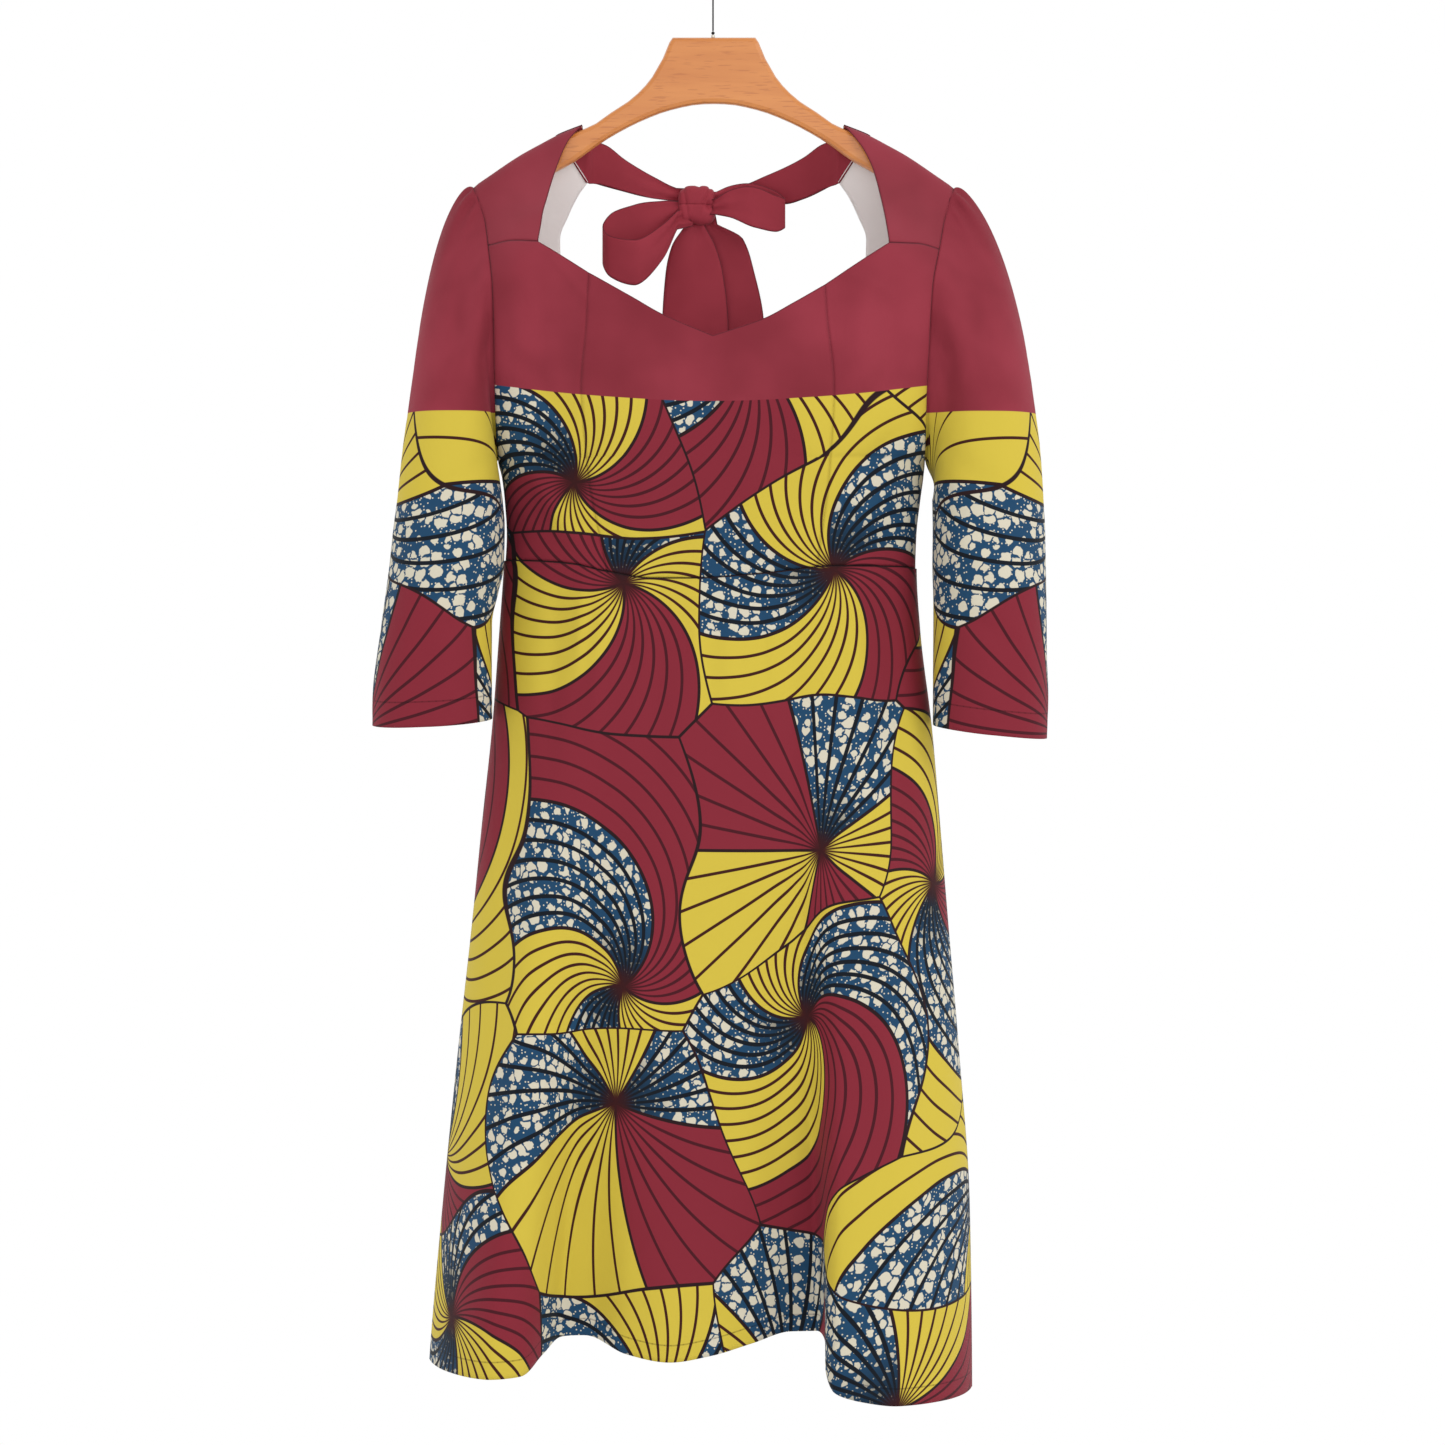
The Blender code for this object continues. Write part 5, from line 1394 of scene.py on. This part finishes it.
def sleeve_rows(side):
    """The sleeve's rows from the armhole to the cuff, and the way along half the armhole."""
    sign = sign_of(side)
    front, stops = armhole_half(side, "front")
    back, _ = armhole_half(side, "back")
    loop = np.concatenate([front, back[::-1][1:-1]])
    way = np.concatenate([stops, stops[::-1][1:-1]])
    count = len(loop)
    angle = 2 * math.pi * np.arange(count) / count
    low = 1 - np.abs(1 - angle / math.pi)  # 0 at the shoulder tip, 1 at the underarm
    angle = angle + SLEEVE_TWIST[side] * low
    first_drop = SLEEVE[side]["drop"][0]
    ring = sleeve_ring(side, angle, np.full(count, first_drop))
    out = CAP_OUT[side] + (CAP_LIFT["out_underarm"] - CAP_OUT[side]) * low ** CAP_LIFT["power"]
    fall = CAP_LIFT["down"] + (CAP_LIFT["down_underarm"] - CAP_LIFT["down"]) * low
    lifted = loop + np.stack([sign * out, 0 * low, fall], 1)
    hang = CAP_HANG["up"] * (ring[:, 2] - loop[:, 2])
    inward = CAP_HANG[side] * (1 - low) ** CAP_HANG["power"] - CAP_HANG["clear"] * low**4
    hung = ring - np.stack([sign * inward, 0 * low, hang], 1)
    rows = []
    for share in CAP_ROWS:
        v = (share ** (1 - CAP_ROWS_SPREAD * low))[:, None]
        row = (1 - v) ** 3 * loop + 3 * v * (1 - v) ** 2 * lifted
        rows.append(row + 3 * v * v * (1 - v) * hung + v**3 * ring)
    cuff = CUFF[side]
    end = cuff["drop"] + cuff["outer"] * np.cos(angle) + cuff["front"] * np.sin(angle)
    for share in shares_of(HANGING_ROWS)[1:]:
        rows.append(sleeve_ring(side, angle, first_drop + (end - first_drop) * share))
    return np.array(rows), way


def sleeve(side):
    """The sleeve, with its top edge tucked under the armhole and its seam down the underarm."""
    sign = sign_of(side)
    grid, way = sleeve_rows(side)
    grid[: len(CAP_ROWS)] += gathers(grid[: len(CAP_ROWS)], way, sign)
    inward = unit((grid[0].mean(0) - grid[0]) * (0, 1, 1))
    tucked = [grid[0] - (sign * under, 0, 0) + deep * inward for under, deep in SLEEVE_TUCK]
    grid = np.concatenate([tucked, grid])
    grid = np.roll(grid, -(grid.shape[1] // 2), 1)
    wrapped = np.concatenate([grid[:, -1:], grid, grid[:, :2]], 1)
    flip = side == "right"
    normals = grid_normals(wrapped, flip)[:, 1:-1]
    grid = wrapped[:, 1:-1]
    round_it = distances(grid, 1)
    round_it -= round_it[:, -1:] / 2
    from_seam = np.where(round_it > 0, round_it - round_it[:, -1:], round_it - round_it[:, :1])
    grid = creased(grid, normals, from_seam, CREASES["sleeve"], ("top",))
    across, top = CUT_PLACE["sleeve"]
    return add_sheet(
        "sleeve_" + side,
        grid,
        normals,
        np.stack([across + round_it, top - grid[..., 2]], -1),
        [printed_sleeve, pale],
        below=grid[..., 2] - PRINT_EDGE["sleeve"],
        sewn=("top", "start", "end"),
        hem=("bottom",),
        flip=flip,
    )


# Ties and bow
TIE_TUCK = {"across": 1.9, "down": 1.3, "in": 1.0}  # where the tie is sewn under the back
TIE_TUCK_ENDS = 3  # columns past the seam where the tuck has run out
LEAST_TUCK = 0.03
TIE_COLUMNS = 36
LOOP_COLUMNS = 80
TAIL_ROWS = 60
LOOP_LENGTH = 150.0
PLEAT_FADE = {"reach": 26.0, "power": 1.4}  # pleats run out of the knot and fade
PLEATS = {"tie": (1.5, 0.9), "loop": (2.0, 0.8), "tail": (1.5, 0.9)}  # how many and how high
FIRST_PLEAT = 0.9  # radians of its wave at the ribbon's first edge
TROUGH_STARTS = 60.0  # the fold down a tail has its full depth this far down
KNOT_FOLDS = (  # places across the knot, slants, widths and depths
    (-8.5, 0.16, 1.6, 1.0),
    (-2.0, -0.22, 1.9, 1.2),
    (4.5, -0.42, 1.6, 1.3),
)
KNOT_EYE = {"x": 9.5, "drop": 1.0, "wide": 3.2, "deep": 3.6}  # where the ribbon turns in
KNOT_SQUARE = {"along": 0.55, "around": 0.75}  # powers under 1 square its outline
KNOT_ROWS = 63
KNOT_COLUMNS = 128
KNOT_POLE = 0.02  # radians of hole left at either end


def strip_cut(grid, kind):
    """Places on the flat strip that a ribbon is cut from."""
    way = distances(grid, 1).mean(0)
    over = distances(grid, 0).mean(1)
    return np.stack(np.broadcast_arrays(way[None, :] + STRIP_PLACE[kind], over[:, None]), -1)


def ribbon(node, kind, grid, over, away, flip=False, **edges):
    """A sheet of ribbon with the pleats that run out of the knot."""
    count, high = PLEATS[kind]
    normals = grid_normals(grid, flip)
    wave = np.cos(2 * math.pi * count * over + FIRST_PLEAT)
    wave = high * wave * np.exp(-((away / PLEAT_FADE["reach"]) ** PLEAT_FADE["power"]))
    grid = grid + wave[..., None] * normals
    cut = strip_cut(grid, kind)
    # ribbons take the plain maroon cloth painted lighter, against the shade they lie in
    return add_sheet(node, grid, normals, cut, [ribbon_painted_lighter], flip=flip, **edges)


def neck_tie(side):
    """The tie from the shoulder to the knot, its lower edge sewn under the back at first."""
    sign = sign_of(side)
    width = shares_of(RIBBON_COLUMNS)
    upper = along(TIE_START_UPPER, TIE_START_SHARES)
    lower = along(TIE_START_LOWER, TIE_START_SHARES)
    last = abs(KNOT["x"] + sign * KNOT["wide"])
    across = upper[-1, 0] + (last - upper[-1, 0]) * shares_of(TIE_COLUMNS)[1:]
    upper = np.concatenate([upper, np.stack([across, read(TIE[side], "upper", across)], 1)])
    lower = np.concatenate([lower, np.stack([across, read(TIE[side], "lower", across)], 1)])
    places = upper[None] * (1 - width[:, None, None]) + lower[None] * width[:, None, None]
    places[:, 0, 1] = read(SHOULDER, "drop", places[:, 0, 0])
    x = sign * places[..., 0]
    grid = np.stack([x, tie_y(side, x, places[..., 1]), places[..., 1]], -1)
    beside_knot(grid[:, -1], sign)
    away = np.maximum(np.abs(x - KNOT["x"]) - KNOT["wide"], 0)
    seam_columns = len(TIE_START_SHARES) - 1
    past_seam = np.arange(grid.shape[1]) - seam_columns
    held = np.maximum(1 - ease(past_seam / TIE_TUCK_ENDS), LEAST_TUCK)
    under = (sign * TIE_TUCK["across"], -TIE_TUCK["in"], TIE_TUCK["down"])
    tucked = grid[-1] + held[:, None] * under
    grid = np.concatenate([grid, (0.5 * (grid[-1] + tucked))[None], tucked[None]])
    away = np.concatenate([away, away[-1:], away[-1:]])
    over = np.append(width, [1, 1])[:, None]
    edges = {"sewn": ("start",), "free": ("top", "bottom")}
    return ribbon("neck_tie_" + side, "tie", grid, over, away, flip=side == "left", **edges)


def bow_loop(side):
    """The ribbon out of the knot, round in a loop and back."""
    sign = sign_of(side)
    width = shares_of(RIBBON_COLUMNS)[:, None]
    way = shares_of(LOOP_COLUMNS)
    middle = np.stack([read(LOOP[side], column, way) for column in ("x", "y", "drop")], 1)
    grid = np.repeat(middle[None], RIBBON_COLUMNS + 1, 0)
    grid[..., 2] += (width - 0.5) * read(LOOP[side], "width", way)
    beside_knot(grid[:, 0], sign)
    beside_knot(grid[:, -1], sign)
    away = np.minimum(way, 1 - way) * LOOP_LENGTH + 0 * width
    return ribbon("bow_loop_" + side, "loop", grid, width, away, free=("top", "bottom"), middle=True)


def bow_tail(side):
    """The loose end of a tie, from under the knot down the back."""
    over = shares_of(RIBBON_COLUMNS)[None, :]
    rows = TAIL[side]
    first = rows["drop"][0]
    last = TAIL_END[side][0] + (TAIL_END[side][1] - TAIL_END[side][0]) * over
    down = shares_of(TAIL_ROWS, ROW_POWER["tail"])[:, None]
    drop = first + (last - first) * down
    x = read(rows, "start", drop) * (1 - over) + read(rows, "end", drop) * over
    trough = TAIL_TROUGH * np.sin(math.pi * over) * ease((drop - first) / TROUGH_STARTS)
    y = read(rows, "y", drop) - trough
    reach = knot_reach(x[0] - KNOT["x"], KNOT["wide"])
    drop[0] = KNOT["drop"] + KNOT["tall"] * reach + TAIL_GAP
    grid = np.stack([x, y, drop], -1)
    away = np.maximum(drop - first, 0)
    free = ("start", "end", "bottom")
    return ribbon("bow_tail_" + side, "tail", grid, over, away, free=free, middle=True)


def bow_knot():
    """The ribbon wrapped round as a knot, with its folds and the hollow where it turns in."""
    polar = np.linspace(KNOT_POLE, math.pi - KNOT_POLE, KNOT_ROWS + 1)[:, None]
    around = np.linspace(0, 2 * math.pi, KNOT_COLUMNS + 1)[None, :]
    cos_polar, sin_polar = squared(polar, KNOT_SQUARE["along"])
    cos_around, sin_around = squared(around, KNOT_SQUARE["around"])
    x = -KNOT["wide"] * cos_polar + 0 * around
    y = -KNOT["deep"] * sin_polar * cos_around
    drop = KNOT["tall"] * sin_polar * sin_around
    grid = np.stack([KNOT["x"] + x, KNOT["y"] + y, KNOT["drop"] + drop], -1)
    normals = grid_normals(grid, False)
    rise = 0 * x
    for fold_x, slant, wide, deep in KNOT_FOLDS:
        rise -= deep * np.exp(-(((x - fold_x - slant * drop) / wide) ** 2))
    away = np.hypot(x - KNOT_EYE["x"], drop - KNOT_EYE["drop"])
    rise -= KNOT_EYE["deep"] * np.exp(-((away / KNOT_EYE["wide"]) ** 2)) * (y < 0)
    grid = grid + rise[..., None] * normals
    return add_sheet("bow_knot", grid, normals, strip_cut(grid, "knot"), [ribbon_painted_lighter])


# Cord
CORD_POINTS = 16


def add_cord():
    """The taut cord between its two knots, and the black cotton of its knots and loop."""
    cotton = twisted_cotton()
    curve = bpy.data.curves.new("cord", "CURVE")
    curve.dimensions = "3D"
    curve.bevel_depth = CORD_RADIUS * MM
    curve.bevel_resolution = 3
    curve.use_fill_caps = True
    curve.materials.append(cotton)
    eye_knot = HANGER_TOP - SEAM_GAP - EYE_TALL - SEAM_GAP - EYE_KNOT_RADIUS
    loop_knot = 2 * LOOP_RADIUS + SEAM_GAP + KNOT_RADIUS
    top = loop_knot + KNOT_RADIUS + SEAM_GAP
    foot = eye_knot - EYE_KNOT_RADIUS - SEAM_GAP
    line = curve.splines.new("POLY")
    drops = np.linspace(foot, top, CORD_POINTS)
    line.points.add(len(drops) - 1)
    for point, drop in zip(line.points, drops, strict=True):
        point.co = (0, 0, -drop * MM, 1)
    piece = linked("cord", curve)
    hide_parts("hanging_cord")
    for node in ("cord_knot_at_eye", "cord_knot_at_loop", "cord_loop"):
        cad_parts[node].material_slots[0].material = cotton


# Room
KEY_LIGHT = {"place": (2.5, -2.3, 0.7), "size": 1.1, "energy": 22}
FRONT_LIGHT = {"place": (0.2, -3.2, 0.0), "size": 1.0, "energy": 6}
LIT_PLACE = (0, 0, -0.6)  # where both lights point
FLOOR_RADIUS = 1.0
FLOOR_Z = -1.42
FLOOR_SIDES = 96


def add_light(name, place, size, energy):
    """A soft square light, which points at the dress."""
    data = bpy.data.lights.new(name, "AREA")
    data.shape = "SQUARE"
    data.size = size
    data.energy = energy
    light = bpy.data.objects.new(name, data)
    light.location = place
    light.rotation_euler = (Vector(LIT_PLACE) - Vector(place)).to_track_quat("-Z", "Y").to_euler()
    bpy.context.scene.collection.objects.link(light)


def add_room():
    """White surroundings, two soft lights and a plain pale floor."""
    world = bpy.data.worlds.new("white_room")
    world.use_nodes = True
    background = world.node_tree.nodes["Background"]
    background.inputs["Color"].default_value = (1, 1, 1, 1)
    background.inputs["Strength"].default_value = 1.0
    bpy.context.scene.world = world
    bpy.context.scene.view_settings.view_transform = "Standard"
    add_light("key", **KEY_LIGHT)
    add_light("front", **FRONT_LIGHT)
    bpy.ops.mesh.primitive_circle_add(
        vertices=FLOOR_SIDES, radius=FLOOR_RADIUS, fill_type="NGON", location=(0, 0, FLOOR_Z)
    )
    floor = bpy.context.active_object
    floor.name = "floor"
    floor.data.materials.append(painted_floor())


add_camera()
add_cord()
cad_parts["hanger_eye"].material_slots[0].material = brushed_steel()
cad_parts["hanger_board"].material_slots[0].material = varnished_beech()

printed = printed_cotton("roller_printed_cotton", None)
printed_skirt = printed_cotton("roller_printed_cotton_skirt", 13.0)
printed_sleeve = printed_cotton("roller_printed_cotton_sleeve", 19.5)
plain_maroon = plain_cotton("plain_dyed_cotton", PLAIN_CLOTH)
# the bow and ties: the same maroon cloth, painted lighter against the shade they lie in
ribbon_painted_lighter = plain_cotton("plain_dyed_ribbon_painted_lighter", RIBBON_PAINTED_LIGHTER)
pale = unprinted_wrong_side()

for side in ("left", "right"):
    front_yoke(side)
    front_side(side)
front_centre()
bodice_back()
for face in ("front", "back"):
    skirt(face)
for side in ("left", "right"):
    sleeve(side)
for side in ("left", "right"):
    neck_tie(side)
    bow_loop(side)
    bow_tail(side)
bow_knot()

add_room()
